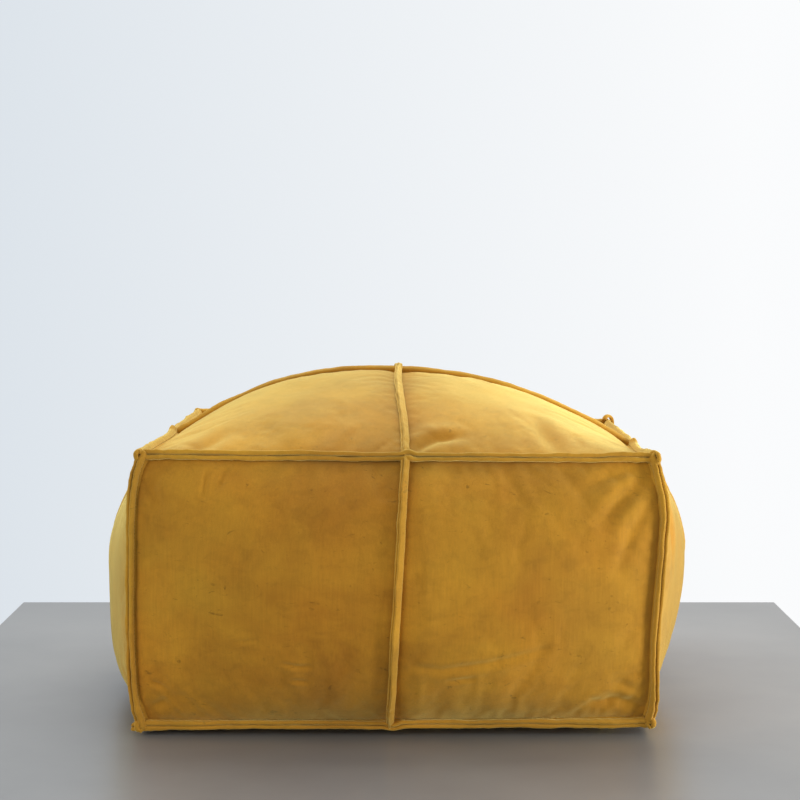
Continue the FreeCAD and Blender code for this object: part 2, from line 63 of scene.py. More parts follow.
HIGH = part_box("front_panel_left")[1].z - RIDGE * ROOT_HALF
TALL = HIGH - LOW
CORNER_BOW, BOW, BULGE = 0.012, 0.006, 0.054
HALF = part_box("right_panel_front")[1].x - RIDGE - CORNER_BOW - BOW - BULGE
CROWN = CAD_BOX[1].z - 0.6 * RIDGE - HIGH
ZIP_Z = (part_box("zip_coil_upper")[0].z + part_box("zip_coil_lower")[1].z) / 2
ZIP_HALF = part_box("zip_coil_upper")[1].x
ZIP_EDGE = 0.006
FLAT_SHARE = 0.73  # the base is flat on the floor out to this share of its half width

WALLS = {
    "front": ((1, 0, 0), (0, -1, 0)),
    "right": ((0, 1, 0), (1, 0, 0)),
    "back": ((-1, 0, 0), (0, 1, 0)),
    "left": ((0, -1, 0), (-1, 0, 0)),
}
# how full each wall is below its middle: 2 is as full as above it
LOW_FULLNESS = {"front": 2.4, "right": 2.6, "back": 2.0, "left": 8.0}
PUFF, PUFF_RUN = 0.0052, 0.016  # how far a panel pillows, and over what distance from a seam
PUCKER = 0.0013
CLOTH = 0.0016


# ---------------------------------------------------------------- noise and interpolation


def cubic_weights(f):
    """The four Catmull-Rom weights at fraction f."""
    return (
        -0.5 * f + f**2 - 0.5 * f**3,
        1 - 2.5 * f**2 + 1.5 * f**3,
        0.5 * f + 2 * f**2 - 1.5 * f**3,
        -0.5 * f**2 + 0.5 * f**3,
    )


def noise(t, seed):
    """Smooth noise from -1 to 1 along one dimension, one wave to about two units."""
    t = np.asarray(t, float) + 100.5
    lattice = np.random.default_rng(seed).uniform(-1, 1, 256)
    i = np.floor(t).astype(int)
    return sum(w * lattice[(i + k - 1) % 256] for k, w in enumerate(cubic_weights(t - i)))


def noise_2d(x, y, seed):
    """Smooth noise from -1 to 1 over a plane."""
    x, y = np.asarray(x, float) + 50.5, np.asarray(y, float) + 50.5
    lattice = np.random.default_rng(seed).uniform(-1, 1, (64, 64))
    i, j = np.floor(x).astype(int), np.floor(y).astype(int)
    across, up = cubic_weights(x - i), cubic_weights(y - j)
    total = 0
    for k in range(4):
        for m in range(4):
            total = total + across[k] * up[m] * lattice[(i + k - 1) % 64, (j + m - 1) % 64]
    return total


def smooth_step(x):
    x = np.clip(x, 0, 1)
    return x * x * (3 - 2 * x)


def resample(count, positions):
    """The matrix that turns count evenly spaced values into values at positions from -1 to 1."""
    x = (np.asarray(positions) + 1) / 2 * (count - 1)
    i = np.clip(np.floor(x).astype(int), 0, count - 2)
    matrix = np.zeros((len(x), count))
    for k, w in enumerate(cubic_weights(x - i)):
        np.add.at(matrix, (np.arange(len(x)), np.clip(i + k - 1, 0, count - 1)), w)
    return matrix


def unit(v):
    return v / np.maximum(np.linalg.norm(v, axis=-1, keepdims=True), 1e-12)


# ---------------------------------------------------------------- the cover's surface


def smooth_face(name, u, v, inset=0.0):
    """One face of the outline, without detail, on the grid of u by v."""
    U, V = np.meshgrid(u, v)
    half = HALF - inset
    if name in ("top", "base"):
        x = U * (half + BOW * (1 - V**2))
        y = V * (half + BOW * (1 - U**2))
        if name == "top":
            return np.stack([x, y, HIGH - inset + CROWN * (1 - U**2) * (1 - V**2)], -1)
        reach = (np.abs(U) ** 8 + np.abs(V) ** 8) ** 0.125
        rise = np.clip((reach - FLAT_SHARE) / (1 - FLAT_SHARE), 0, 1)
        return np.stack([x, y, inset + FLOOR_GAP + (LOW - FLOOR_GAP) * rise**1.5], -1)
    along, out = WALLS[name]
    to_front = {"front": 1.0, "back": 0.0, "right": (1 - U) / 2, "left": (1 + U) / 2}[name]
    corner = CORNER_BOW * (1 - to_front * V**6 - (1 - to_front) * V**2)
    belly = BULGE * (1 - np.abs(V) ** np.where(V < 0, LOW_FULLNESS[name], 2.0))
    reach = half + corner + (1 - U**2) * (BOW + belly)
    height = (HIGH + LOW) / 2 + V * (TALL / 2 - inset)
    side = U * (half + corner)
    place = side[..., None] * np.array(along) + reach[..., None] * np.array(out)
    place[..., 2] = height
    return place


def normals_of(grid):
    return unit(np.cross(np.gradient(grid, axis=1), np.gradient(grid, axis=0)))


def face_metres(name, u, v):
    """Distances from a face's middle, along it and up it, in metres."""
    U, V = np.meshgrid(u, v)
    return U * HALF, V * (HALF if name in ("top", "base") else TALL / 2)


def seams_near(name, x, y):
    """For each seam beside a face: place along it, distance from it, strength of its puckers."""
    rise = HALF if name in ("top", "base") else TALL / 2
    found = [
        (x, rise - y, 1.0),
        (x, y + rise, 0.7),
        (y, HALF - x, 0.9),
        (y, x + HALF, 1.0),
    ]
    if name != "base":
        found.append((y, np.abs(x), 0.30))
    if name == "top":
        found.append((x, np.abs(y), 0.35))
    return found


# Folds that stay in the cloth: face, line in metres from the face's middle, half width, depth
CREASES = (
    ("front", ((-0.180, -0.052), (-0.158, -0.049)), 0.0025, 0.0010),
    ("front", ((-0.128, -0.076), (-0.108, -0.080), (-0.096, -0.079)), 0.0026, 0.0013),
    ("front", ((-0.118, -0.096), (-0.100, -0.098)), 0.0024, 0.0010),
    ("front", ((-0.282, -0.106), (-0.268, -0.110)), 0.0024, 0.0010),
    ("front", ((-0.226, 0.140), (-0.224, 0.112)), 0.0028, 0.0016),
    ("front", ((-0.206, 0.141), (-0.207, 0.122)), 0.0024, 0.0012),
    ("front", ((0.018, -0.078), (0.050, -0.083), (0.105, -0.076), (0.170, -0.061)),
     0.0042, 0.0016),
    ("front", ((0.060, -0.096), (0.088, -0.094)), 0.0026, 0.0009),
    ("front", ((0.292, 0.136), (0.262, 0.118), (0.226, 0.086)), 0.0075, 0.0042),
    ("front", ((0.288, 0.146), (0.240, 0.136), (0.205, 0.120)), 0.0060, 0.0020),
    ("front", ((0.284, 0.104), (0.262, 0.070), (0.250, 0.030)), 0.0080, 0.0022),
    ("front", ((0.290, -0.140), (0.262, -0.128), (0.232, -0.132)), 0.0060, 0.0026),
    ("front", ((0.282, -0.118), (0.255, -0.108)), 0.0050, 0.0016),
    ("front", ((-0.288, 0.128), (-0.272, 0.100)), 0.0060, 0.0022),
    ("front", ((-0.290, -0.138), (-0.262, -0.126)), 0.0060, 0.0020),
    ("top", ((0.012, -0.282), (0.034, -0.262), (0.060, -0.258)), 0.0085, 0.0040),
    ("top", ((0.190, -0.296), (0.170, -0.240), (0.160, -0.190)), 0.0120, 0.0026),
    ("top", ((-0.250, -0.290), (-0.215, -0.240)), 0.0110, 0.0022),
    ("right", ((-0.290, 0.120), (-0.255, 0.080), (-0.235, 0.020)), 0.0090, 0.0028),
    ("right", ((-0.288, -0.130), (-0.250, -0.110)), 0.0070, 0.0022),
    ("left", ((0.288, 0.128), (0.250, 0.090)), 0.0080, 0.0026),
    ("left", ((0.285, -0.128), (0.245, -0.104)), 0.0070, 0.0022),
    ("back", ((0.286, 0.132), (0.240, 0.092)), 0.0080, 0.0026),
    ("back", ((-0.286, 0.132), (-0.246, 0.100)), 0.0080, 0.0024),
)


def crease_height(x, y, line, width, depth):
    """A fold along a line of points, deepest halfway along, with a low swell on each side."""
    near = np.full(x.shape, 1e9)
    place = np.zeros(x.shape)
    lengths = [math.dist(a, b) for a, b in zip(line, line[1:])]
    done = 0.0
    for (ax, ay), (bx, by), length in zip(line, line[1:], lengths):
        t = np.clip(((x - ax) * (bx - ax) + (y - ay) * (by - ay)) / length**2, 0, 1)
        d = np.hypot(x - ax - t * (bx - ax), y - ay - t * (by - ay))
        closer = d < near
        near = np.where(closer, d, near)
        place = np.where(closer, (done + t * length) / sum(lengths), place)
        done += length
    taper = np.sin(np.pi * np.clip(place * 0.84 + 0.08, 0, 1)) ** 0.7
    trough = -np.exp(-((near / width) ** 2))
    swell = 0.45 * np.exp(-(((near - 2.1 * width) / (1.3 * width)) ** 2))
    return 1.35 * depth * taper * (trough + swell)


def freedom(name, x, y):
    """How free the cloth is to pucker: 0 beside the zip and where it lies on the floor, else 1."""
    if name == "back":
        from_zip = np.abs(y + TALL / 2 - (ZIP_Z - LOW))
        return smooth_step((from_zip - 0.012) / 0.030)
    if name == "base":
        reach = np.maximum(np.abs(x), np.abs(y)) / HALF
        return smooth_step((reach - FLAT_SHARE) / 0.1)
    return np.ones(x.shape)


def detail_height(name, u, v):
    """Height of the cloth over the outline: pillows between seams, puckers, folds, unevenness."""
    x, y = face_metres(name, u, v)
    seams = seams_near(name, x, y)
    puff = PUFF
    for _, away, _ in seams:
        puff = puff * (1 - np.exp(-np.maximum(away, 0) / PUFF_RUN))
    height = puff
    seed = 17 * (1 + list(("top", "base", *WALLS)).index(name))
    for k, (place, away, strength) in enumerate(seams):
        away = np.maximum(away, 0)
        waves = 0.65 * noise(place / 0.0085, seed + k) + 0.8 * noise(place / 0.019, seed + k + 7)
        gathers = 0.30 + 0.9 * np.clip(noise(place / 0.07, seed + k + 3), 0, 1)
        ends = 1 + 0.8 * np.exp(-(HALF - np.abs(place)) / 0.05)
        fade = np.exp(-away / 0.015) * (1 - np.exp(-away / 0.004))
        height = height + PUCKER * strength * gathers * ends * waves * fade
    height = height + 0.0012 * noise_2d(x / 0.075, y / 0.085, seed + 5) * puff / PUFF
    height = height + 0.0005 * noise_2d(x / 0.022, y / 0.034, seed + 6) * puff / PUFF
    for face, line, width, depth in CREASES:
        if face == name:
            height = height + crease_height(x, y, line, width, depth)
    edge = np.minimum.reduce([away for _, away, _ in seams[:4]])
    return height * smooth_step(edge / 0.003) * freedom(name, x, y)


# How far the cushion has settled out of square, in metres
LEAN, LEAN_MIDDLE, SHIFT_MIDDLE = 0.0030, 0.0060, 0.0026
RIGHT_IN, RIGHT_TOP_IN, RIGHT_LOW_IN, LEFT_LOW_IN = 0.0035, 0.0045, 0.0075, 0.0035
CROWN_LEFT, CROWN_SWAY = 0.0050, 0.0030
LEFT_DRAWN, RIGHT_SAG, LEFT_SHOULDER, FRONT_TILT = 0.012, 0.015, 0.0070, 0.0018


def settle(points):
    """The whole cushion leans: the front's top stands a little to the right of its base. Behind,
    the top's left end is drawn in and its right end sags, and the top's left half stands fuller."""
    x, y, z = points[..., 0], points[..., 1], points[..., 2]
    level = np.clip((z - LOW) / TALL, -0.1, 1.1) * 2 - 1
    front = smooth_step((0.10 - y) / 0.36)
    share = np.clip(x / HALF, -1.1, 1.1)
    middle = np.clip(1 - share**2, 0, 1)
    right, left = np.clip(share, 0, 1.1) ** 2, np.clip(-share, 0, 1.1) ** 2
    shift = LEAN * level + SHIFT_MIDDLE * middle + LEAN_MIDDLE * level * middle
    top_part = smooth_step(2.2 * level - 1.2)
    low_part = smooth_step(0.5 - 0.8 * level) * smooth_step(level + 1.3)
    shift = shift - right * (RIGHT_IN + RIGHT_TOP_IN * top_part + RIGHT_LOW_IN * low_part)
    shift = shift + left * LEFT_LOW_IN * smooth_step(-level)
    on_top = np.clip((z - HIGH) / CROWN, 0, 1)
    sway = -CROWN_LEFT * on_top * middle + CROWN_SWAY * on_top * middle * np.sin(y / 0.09)
    behind = smooth_step((y + 0.30) / 0.26)
    upper = smooth_step((level + 0.1) / 1.1)
    drawn = LEFT_DRAWN * left * behind * smooth_step(1.2 * level - 0.2)
    sag = RIGHT_SAG * (right * behind * upper)
    shoulder = np.sin(math.pi * np.clip(-share, 0, 1)) * np.clip((z - HIGH) / 0.03, 0, 1)
    height = -FRONT_TILT * level * share * front - sag + LEFT_SHOULDER * shoulder
    on_floor = z <= 0.002
    return np.stack([x + front * (shift + sway) + drawn, y, z + height * ~on_floor], -1)


def cover_face(name, u, v):
    """One face of the cover on the grid of u by v, with all its detail."""
    base = smooth_face(name, u, v)
    outward = normals_of(base) * (-1 if name == "base" else 1)
    points = base + outward * detail_height(name, u, v)[..., None]
    points = points + simulated_detail(name, u, v)
    if name == "base":
        points[..., 2] = np.maximum(points[..., 2], FLOOR_GAP)
    return settle(points)


# ---------------------------------------------------------------- the cloth simulation

SIM_CELLS, SIM_TALL_CELLS = 84, 44
SIM_GAIN = 0.38
SIM_FRAMES = 22
SIM_LIMIT = 0.007  # no point moves further than this
CUT_RISE = {"top": 0.03, "base": -0.012, "wall": 0.018}
DRAPED = {}


def flat_cut_cover():
    """The six faces of the cover as it is cut, nearly flat, before it is filled."""
    t, s = np.linspace(-1, 1, SIM_CELLS + 1), np.linspace(-1, 1, SIM_TALL_CELLS + 1)
    U, V = np.meshgrid(t, t)
    faces = {}
    for name, level in (("top", HIGH), ("base", LOW)):
        rise = CUT_RISE[name] * (1 - U**2) * (1 - V**2)
        faces[name] = np.stack([U * HALF, V * HALF, level + rise], -1)
    A, Z = np.meshgrid(t, s)
    for name, (along, out) in WALLS.items():
        reach = HALF + CUT_RISE["wall"] * (1 - A**2) * (1 - Z**2)
        grid = (A * HALF)[..., None] * np.array(along) + reach[..., None] * np.array(out)
        grid[..., 2] = (LOW + HIGH) / 2 + Z * TALL / 2
        faces[name] = grid
    return faces


def weld(faces):
    """One list of vertices for all the faces, which share those along their seams."""
    places, ids, known = [], {}, {}
    for name, grid in faces.items():
        rows, columns = grid.shape[:2]
        ids[name] = np.empty((rows, columns), int)
        for i in range(rows):
            for j in range(columns):
                key = None
                if i in (0, rows - 1) or j in (0, columns - 1):
                    key = tuple(np.round(grid[i, j] * 1e5).astype(int))
                if key is None or key not in known:
                    known[key or (name, i, j)] = len(places)
                    places.append(grid[i, j])
                ids[name][i, j] = known[key or (name, i, j)]
    return np.array(places), ids


def inflate_cover():
    """Fills the flat-cut cover with pressure. Its seams are a little too short, as when sewn."""
    faces = flat_cut_cover()
    places, ids = weld(faces)
    quads = []
    for name, grid in ids.items():
        around = (grid[:-1, :-1], grid[:-1, 1:], grid[1:, 1:], grid[1:, :-1])
        quads.append(np.stack(around[::-1] if name == "base" else around, -1).reshape(-1, 4))
    mesh = bpy.data.meshes.new("cover_simulation")
    shaken = places + np.random.default_rng(5).normal(0, 2e-4, places.shape)
    mesh.from_pydata(shaken, [], np.concatenate(quads).tolist())
    cover = add_object("cover_simulation", mesh)
    sewn = set()
    for name, grid in ids.items():
        lines = [grid[0], grid[-1], grid[:, 0], grid[:, -1]]
        if name != "base":
            lines.append(grid[:, grid.shape[1] // 2])
        if name == "top":
            lines.append(grid[grid.shape[0] // 2])
        for line in lines:
            sewn.update(line.tolist())
    group = cover.vertex_groups.new(name="seams")
    group.add(sorted(sewn), 1.0, "REPLACE")
    cloth = cover.modifiers.new("Cloth", "CLOTH")
    how = cloth.settings
    how.quality, how.mass, how.air_damping = 6, 0.25, 1.0
    how.tension_stiffness, how.compression_stiffness = 60, 40
    how.shear_stiffness, how.bending_stiffness = 25, 0.15
    how.tension_damping = how.compression_damping = how.shear_damping = 20
    how.bending_damping = 0.5
    how.use_pressure, how.uniform_pressure_force = True, 9.0
    how.vertex_group_shrink, how.shrink_max = "seams", 0.035
    how.effector_weights.gravity = 0.0
    cloth.collision_settings.use_collision = False
    cloth.point_cache.frame_end = SIM_FRAMES
    for number in range(1, SIM_FRAMES + 1):
        bpy.context.scene.frame_set(number)
    filled = cover.evaluated_get(bpy.context.evaluated_depsgraph_get())
    points = np.empty(len(places) * 3)
    filled.data.vertices.foreach_get("co", points)
    points = points.reshape(-1, 3)
    bpy.data.objects.remove(cover)
    bpy.data.meshes.remove(mesh)
    bpy.context.scene.frame_set(1)
    return {name: points[grid] for name, grid in ids.items()}


def without_bulk(points):
    """What is left of a panel when its overall curve is taken off: its puckers and drag lines."""
    rows, columns = points.shape[:2]
    v, u = np.linspace(-1, 1, rows), np.linspace(-1, 1, columns)
    a = np.polynomial.legendre.legvander(u, 4)
    b = np.polynomial.legendre.legvander(v, 4)
    fit_a, fit_b = a @ np.linalg.pinv(a), b @ np.linalg.pinv(b)
    bulk = np.einsum("ij,kl,jlc->ikc", fit_b, fit_a, points)
    return points - bulk


def learn_puckers():
    """Keeps, for each face, how the filled cover differs from a smooth one."""
    for name, points in inflate_cover().items():
        rows, columns = points.shape[:2]
        kept = np.zeros_like(points)
        row_cuts = (0, rows // 2, rows - 1) if name == "top" else (0, rows - 1)
        column_cuts = (0, columns - 1) if name == "base" else (0, columns // 2, columns - 1)
        for r0, r1 in zip(row_cuts, row_cuts[1:]):
            for c0, c1 in zip(column_cuts, column_cuts[1:]):
                part = without_bulk(points[r0 : r1 + 1, c0 : c1 + 1])
                i = np.arange(r1 - r0 + 1)[:, None]
                j = np.arange(c1 - c0 + 1)[None, :]
                inner = np.minimum(np.minimum(i, r1 - r0 - i), np.minimum(j, c1 - c0 - j))
                part = part * (1 - np.exp(-inner / 1.1))[..., None]
                kept[r0 : r1 + 1, c0 : c1 + 1] = part
        size = np.linalg.norm(kept, axis=-1, keepdims=True)
        DRAPED[name] = kept * np.minimum(1, SIM_LIMIT / np.maximum(size, 1e-9))


def simulated_detail(name, u, v):
    if name not in DRAPED:
        return 0.0
    field = DRAPED[name]
    rows, columns = field.shape[:2]
    moved = np.einsum("ij,kl,jlc->ikc", resample(rows, v), resample(columns, u), field) * SIM_GAIN
    return moved * freedom(name, *face_metres(name, u, v))[..., None]


# ---------------------------------------------------------------- meshes


def add_object(name, data):
    thing = bpy.data.objects.new(name, data)
    bpy.context.collection.objects.link(thing)
    return thing


def add_mesh(name, points, faces, material, slot):
    """A smooth-shaded piece of the cover's body."""
    mesh = bpy.data.meshes.new(name)
    mesh.from_pydata(np.asarray(points).reshape(-1, 3), [], faces)
    mesh.validate()
    mesh.polygons.foreach_set("use_smooth", [True] * len(mesh.polygons))
    mesh.materials.append(material)
    piece = add_object(name, mesh)
    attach(piece, "cover")
    return piece


def grid_faces(rows, columns, offset=0, closed=False):
    """Quads over a grid of points; closed joins the last column to the first."""
    i, j = np.meshgrid(np.arange(rows - 1), np.arange(columns - (not closed)), indexing="ij")
    k = (j + 1) % columns
    low, high = i * columns, (i + 1) * columns
    return (np.stack([low + j, low + k, high + k, high + j], -1).reshape(-1, 4) + offset).tolist()


def end_caps(rings, around, offset=0):
    """The two faces that close a tube of rings."""
    last = offset + (rings - 1) * around
    return [[offset + k for k in range(around)][::-1], [last + k for k in range(around)]]


def spread(low, high, count):
    """Places from low to high, closer together near both."""
    t = np.linspace(0, 1, count)
    return low + (high - low) * (t - 0.62 * np.sin(2 * np.pi * t) / (2 * np.pi))


def sheet_mesh(grid, thickness, flip=False):
    """Points and faces of a sheet with a back and a rim, so that it is closed."""
    rows, columns = grid.shape[:2]
    inward = -normals_of(grid) * (-1 if flip else 1)
    points = np.concatenate([grid.reshape(-1, 3), (grid + inward * thickness).reshape(-1, 3)])
    front = grid_faces(rows, columns)
    back = [face[::-1] for face in grid_faces(rows, columns, rows * columns)]
    ids = np.arange(rows * columns).reshape(rows, columns)
    rim = np.concatenate([ids[0], ids[1:, -1], ids[-1, -2::-1], ids[-2:0:-1, 0]])
    count = rows * columns
    sides = [[a, a + count, b + count, b] for a, b in zip(rim, np.roll(rim, -1))]
    faces = front + back + [list(map(int, side)) for side in sides]
    return points, [face[::-1] for face in faces] if flip else faces


ZIP_V = (ZIP_Z - LOW) / (TALL / 2) - 1
EDGE_V = ZIP_EDGE / (TALL / 2)
FIRST, SECOND, WHOLE = (-1, 0), (0, 1), (-1, 1)
# name, face, u range, v range, samples each way
PANELS = (
    *((f"top_panel_{end}_{side}", "top", across, along, (110, 110))
      for end, along in (("front", FIRST), ("back", SECOND))
      for side, across in (("left", FIRST), ("right", SECOND))),
    *((f"{face}_panel_{half}", face, across, up, samples)
      for face, halves, up, samples in (
          ("front", ("left", "right"), WHOLE, (190, 200)),
          ("right", ("front", "back"), WHOLE, (110, 114)),
          ("left", ("back", "front"), WHOLE, (110, 114)),
          ("back", ("right", "left"), (ZIP_V + EDGE_V, 1), (110, 100)))
      for half, across in zip(halves, (FIRST, SECOND))),
    ("back_zip_strip", "back", WHOLE, (-1, ZIP_V - EDGE_V), (200, 36)),
    ("base_panel", "base", WHOLE, WHOLE, (170, 170)),
)
HEM_RADIUS = 0.0011


def with_hem(grid, at_top):
    """Adds the rows of a folded edge beside the zip: round, and back inside."""
    rows = grid if at_top else grid[::-1]
    edge, onward = rows[-1], unit(rows[-1] - rows[-2])
    outward = normals_of(grid)[-1 if at_top else 0]
    added = []
    for angle in np.radians((30, 60, 90, 120, 150, 180)):
        reach = onward * math.sin(angle) - outward * (1 - math.cos(angle))
        added.append(edge + reach * HEM_RADIUS)
    for back in (0.003, 0.007, 0.011):
        added.append(edge - onward * back - outward * 2.1 * HEM_RADIUS)
    rows = np.concatenate([rows, np.array(added)])
    return rows if at_top else rows[::-1]


def add_panels(velvet):
    for name, face, u_range, v_range, (across, up) in PANELS:
        grid = cover_face(face, spread(*u_range, across), spread(*v_range, up))
        if face == "back":
            points = with_hem(grid, at_top=name == "back_zip_strip")
            faces = grid_faces(*points.shape[:2])
        else:
            points, faces = sheet_mesh(grid, CLOTH, flip=face == "base")
        piece = add_mesh(f"{name}_cloth", points, faces, velvet[face], "velvet")
        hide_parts(name)


# ---------------------------------------------------------------- raised seams


def ridge_field(name, u, v):
    """Where a raised seam stands to, for a height of 1: the mean of its panels' directions."""
    along, out = WALLS.get(name, ((1, 0, 0), (0, 0, 1)))
    upward = (0, 1, 0) if name == "top" else (0, 0, 1)
    u, v = np.broadcast_arrays(np.asarray(u, float), np.asarray(v, float))
    lean = 1 - (1 - ROOT_HALF) * (u**2 + v**2 - u**2 * v**2)
    parts = (u * ROOT_HALF, along), (v * ROOT_HALF, upward), (lean, out)
    return sum(amount[..., None] * np.array(axis, float) for amount, axis in parts)


class Seam:
    """A seam of the cover: its line, and at each point the axes of its raised edge."""

    def __init__(self, name, face, fixed, at, stations=230, trim=(0.0, 0.0), reach=(0.005, 0.005)):
        self.name = name
        length = 2 * (HALF if (fixed == "v" or face == "top") else TALL / 2)
        low, high = -1 + trim[0] * 2 / length, 1 - trim[1] * 2 / length
        t = np.linspace(low - reach[0] * 2 / length, high + reach[1] * 2 / length, stations)
        inside = np.clip(t, -1, 1)
        step = 0.02 if at < 1 else -0.02
        if fixed == "v":
            line = smooth_face(face, inside, [at])[0]
            beside = smooth_face(face, inside, [at + step])[0]
            rise = ridge_field(face, inside, at)
        else:
            line = smooth_face(face, [at], inside)[:, 0]
            beside = smooth_face(face, [at + step], inside)[:, 0]
            rise = ridge_field(face, at, inside)
        self.along = unit(np.gradient(line + 1e-9 * t[:, None], axis=0))
        inner = np.where(np.abs(t) <= 1)[0]
        self.along[: inner[0]] = self.along[inner[0] + 1]
        self.along[inner[-1] + 1 :] = self.along[inner[-1] - 1]
        beyond = (t - inside) * length / 2
        self.line = line + self.along * beyond[:, None]
        self.rise = rise
        side = unit(beside - line)
        up = unit(rise)
        side = side - up * np.sum(side * up, -1, keepdims=True)
        side = side - self.along * np.sum(side * self.along, -1, keepdims=True)
        self.side = unit(side)
        self.place = t * length / 2
        self.ends = (self.place[0], self.place[-1])

    def point(self, offset, height):
        """Points offset to the seam's first side and at a height, for every station."""
        offset, height = np.asarray(offset), np.asarray(height)
        return self.line + self.side * offset[..., None] + self.rise * height[..., None]


STITCH_HEIGHT = 0.0024


def ridge_shape(seam, lean, height, thick, seed, knots=()):
    """The centre line, half thickness, slit and heights of a raised seam at each station."""
    s = seam.place
    lean = np.interp(s, np.linspace(s[0], s[-1], len(lean)), lean)
    lean = lean + 0.10 * noise(s / 0.040, seed) + 0.035 * noise(s / 0.014, seed + 1)
    tall = height * (1 + 0.055 * noise(s / 0.024, seed + 2) + 0.025 * noise(s / 0.009, seed + 3))
    wide = thick * (1 + 0.08 * noise(s / 0.017, seed + 4) + 0.045 * noise(s / 0.007, seed + 5))
    end = np.exp(-np.minimum(s - s[0], s[-1] - s) / 0.05) + 0.35
    tall = tall * (1 + 0.050 * end * noise(s / 0.0042, seed + 12))
    wide = wide * (1 + 0.085 * end * noise(s / 0.0036, seed + 13))
    slit = 0.00022 + 0.00055 * np.clip(noise(s / 0.028, seed + 6) + 0.25, 0, 1)
    uneven = 0.0007 * noise(s / 0.022, seed + 8)
    for at, swell in knots:
        near = np.exp(-(((s - at) / 0.007) ** 2))
        tall = tall * (1 + 0.16 * swell * near)
        wide = wide * (1 + 0.42 * swell * near)
        lean = lean * (1 - 0.7 * near)
    shift = 0.00025 * noise(s / 0.013, seed + 9)
    return lean, tall, wide, slit, uneven, shift


def centre_line(lean, height, tall):
    """(offset, height, direction) of a raised seam's middle at a height up it: it bends over."""
    steps = 12
    share = np.linspace(0, 1, steps + 1)
    angle = lean[:, None] * smooth_step(share / 0.65)[None, :]
    middle = (angle[:, 1:] + angle[:, :-1]) / 2
    root = np.zeros((len(lean), 1))
    stride = (tall / steps)[:, None]
    offsets = np.concatenate([root, np.cumsum(np.sin(middle), 1)], 1) * stride
    heights = np.concatenate([root, np.cumsum(np.cos(middle), 1)], 1) * stride
    at = np.clip(height / tall, 0, 1) * steps
    low = np.clip(np.floor(at).astype(int), 0, steps - 1)
    f = at - low
    rows = np.arange(len(lean))
    x, z, turn = (k[rows, low] * (1 - f) + k[rows, low + 1] * f for k in (offsets, heights, angle))
    return x, z + np.minimum(height, 0), turn


def place_on_ridge(seam, shape, height, offset):
    """Points at a height up a raised seam and at an offset from its middle, one to a station."""
    lean, tall, _, _, _, shift = shape
    x, z, angle = centre_line(lean, height, tall)
    return seam.point(x + shift + offset * np.cos(angle), z - offset * np.sin(angle))


def ridge_grid(seam, shape):
    """The skin of both folded edges: up one, round its fold, down the slit, and the other way."""
    lean, tall, wide, slit, uneven, shift = shape
    columns = []
    for side in (1, -1):
        top = tall + side * uneven
        round_it = (wide - slit) / 2
        half = []
        for h, share in ((-0.004, 0.52), (0.0, 0.44), (0.0013, 0.38), (STITCH_HEIGHT, 0.40)):
            half.append((np.full_like(tall, h), wide * share))
        for share, width in ((0.30, 0.66), (0.40, 0.88), (0.52, 0.98), (0.62, 1.0)):
            half.append((np.maximum(top * share, STITCH_HEIGHT * 1.02), wide * width))
        for degrees in (90, 62, 35, 8, -20, -50, -80):
            a = math.radians(degrees)
            half.append((top - round_it * (1 - math.cos(a)),
                         slit + round_it * (1 + math.sin(a))))
        for share, open_share in ((0.62, 1.0), (0.42, 0.6), (0.25, 0.25)):
            half.append((top * share, slit * open_share))
        rows = [place_on_ridge(seam, shape, h, side * w) for h, w in half]
        columns.append(rows if side == 1 else rows[::-1])
    grid = np.stack(columns[0] + columns[1], 1)
    middle = place_on_ridge(seam, shape, tall * 0.5, np.zeros_like(tall))[:, None]
    from_end = np.minimum(seam.place - seam.ends[0], seam.ends[1] - seam.place)
    shrink = np.sqrt(np.clip(1 - (1 - np.clip(from_end / 0.0035, 0, 1)) ** 2, 0.02, 1))
    return middle + (grid - middle) * shrink[:, None, None]


def add_ridge(seam, shape, material):
    grid = settle(ridge_grid(seam, shape))
    rows, columns = grid.shape[:2]
    faces = grid_faces(rows, columns) + end_caps(rows, columns)
    half = rows // 2
    foot = grid[half, 0]
    normal = np.cross(grid[half, 1] - foot, grid[half + 1, 0] - foot)
    if np.sum(normal * seam.side[half]) < 0:
        faces = [face[::-1] for face in faces]
    add_mesh(f"raised_seam_{seam.name}", grid, faces, material, "velvet")


STITCH_PITCH, STITCH_LENGTH, THREAD = 0.0046, 0.0036, 0.00028
SIDES = np.arange(6) * math.pi / 3  # around a thread or a coil's wire
# along a stitch: share of its length, size, and how far its middle is lifted, in thicknesses
STITCH = ((0, 0.35, -0.6), (0.2, 0.9, 0.1), (0.5, 1.0, 0.45), (0.8, 0.9, 0.1), (1, 0.35, -0.6))
FLAT_STITCH = ((0, 0.35, -0.5), (0.2, 0.9, 0.2), (0.5, 1, 0.5), (0.8, 0.9, 0.2), (1, 0.35, -0.5))


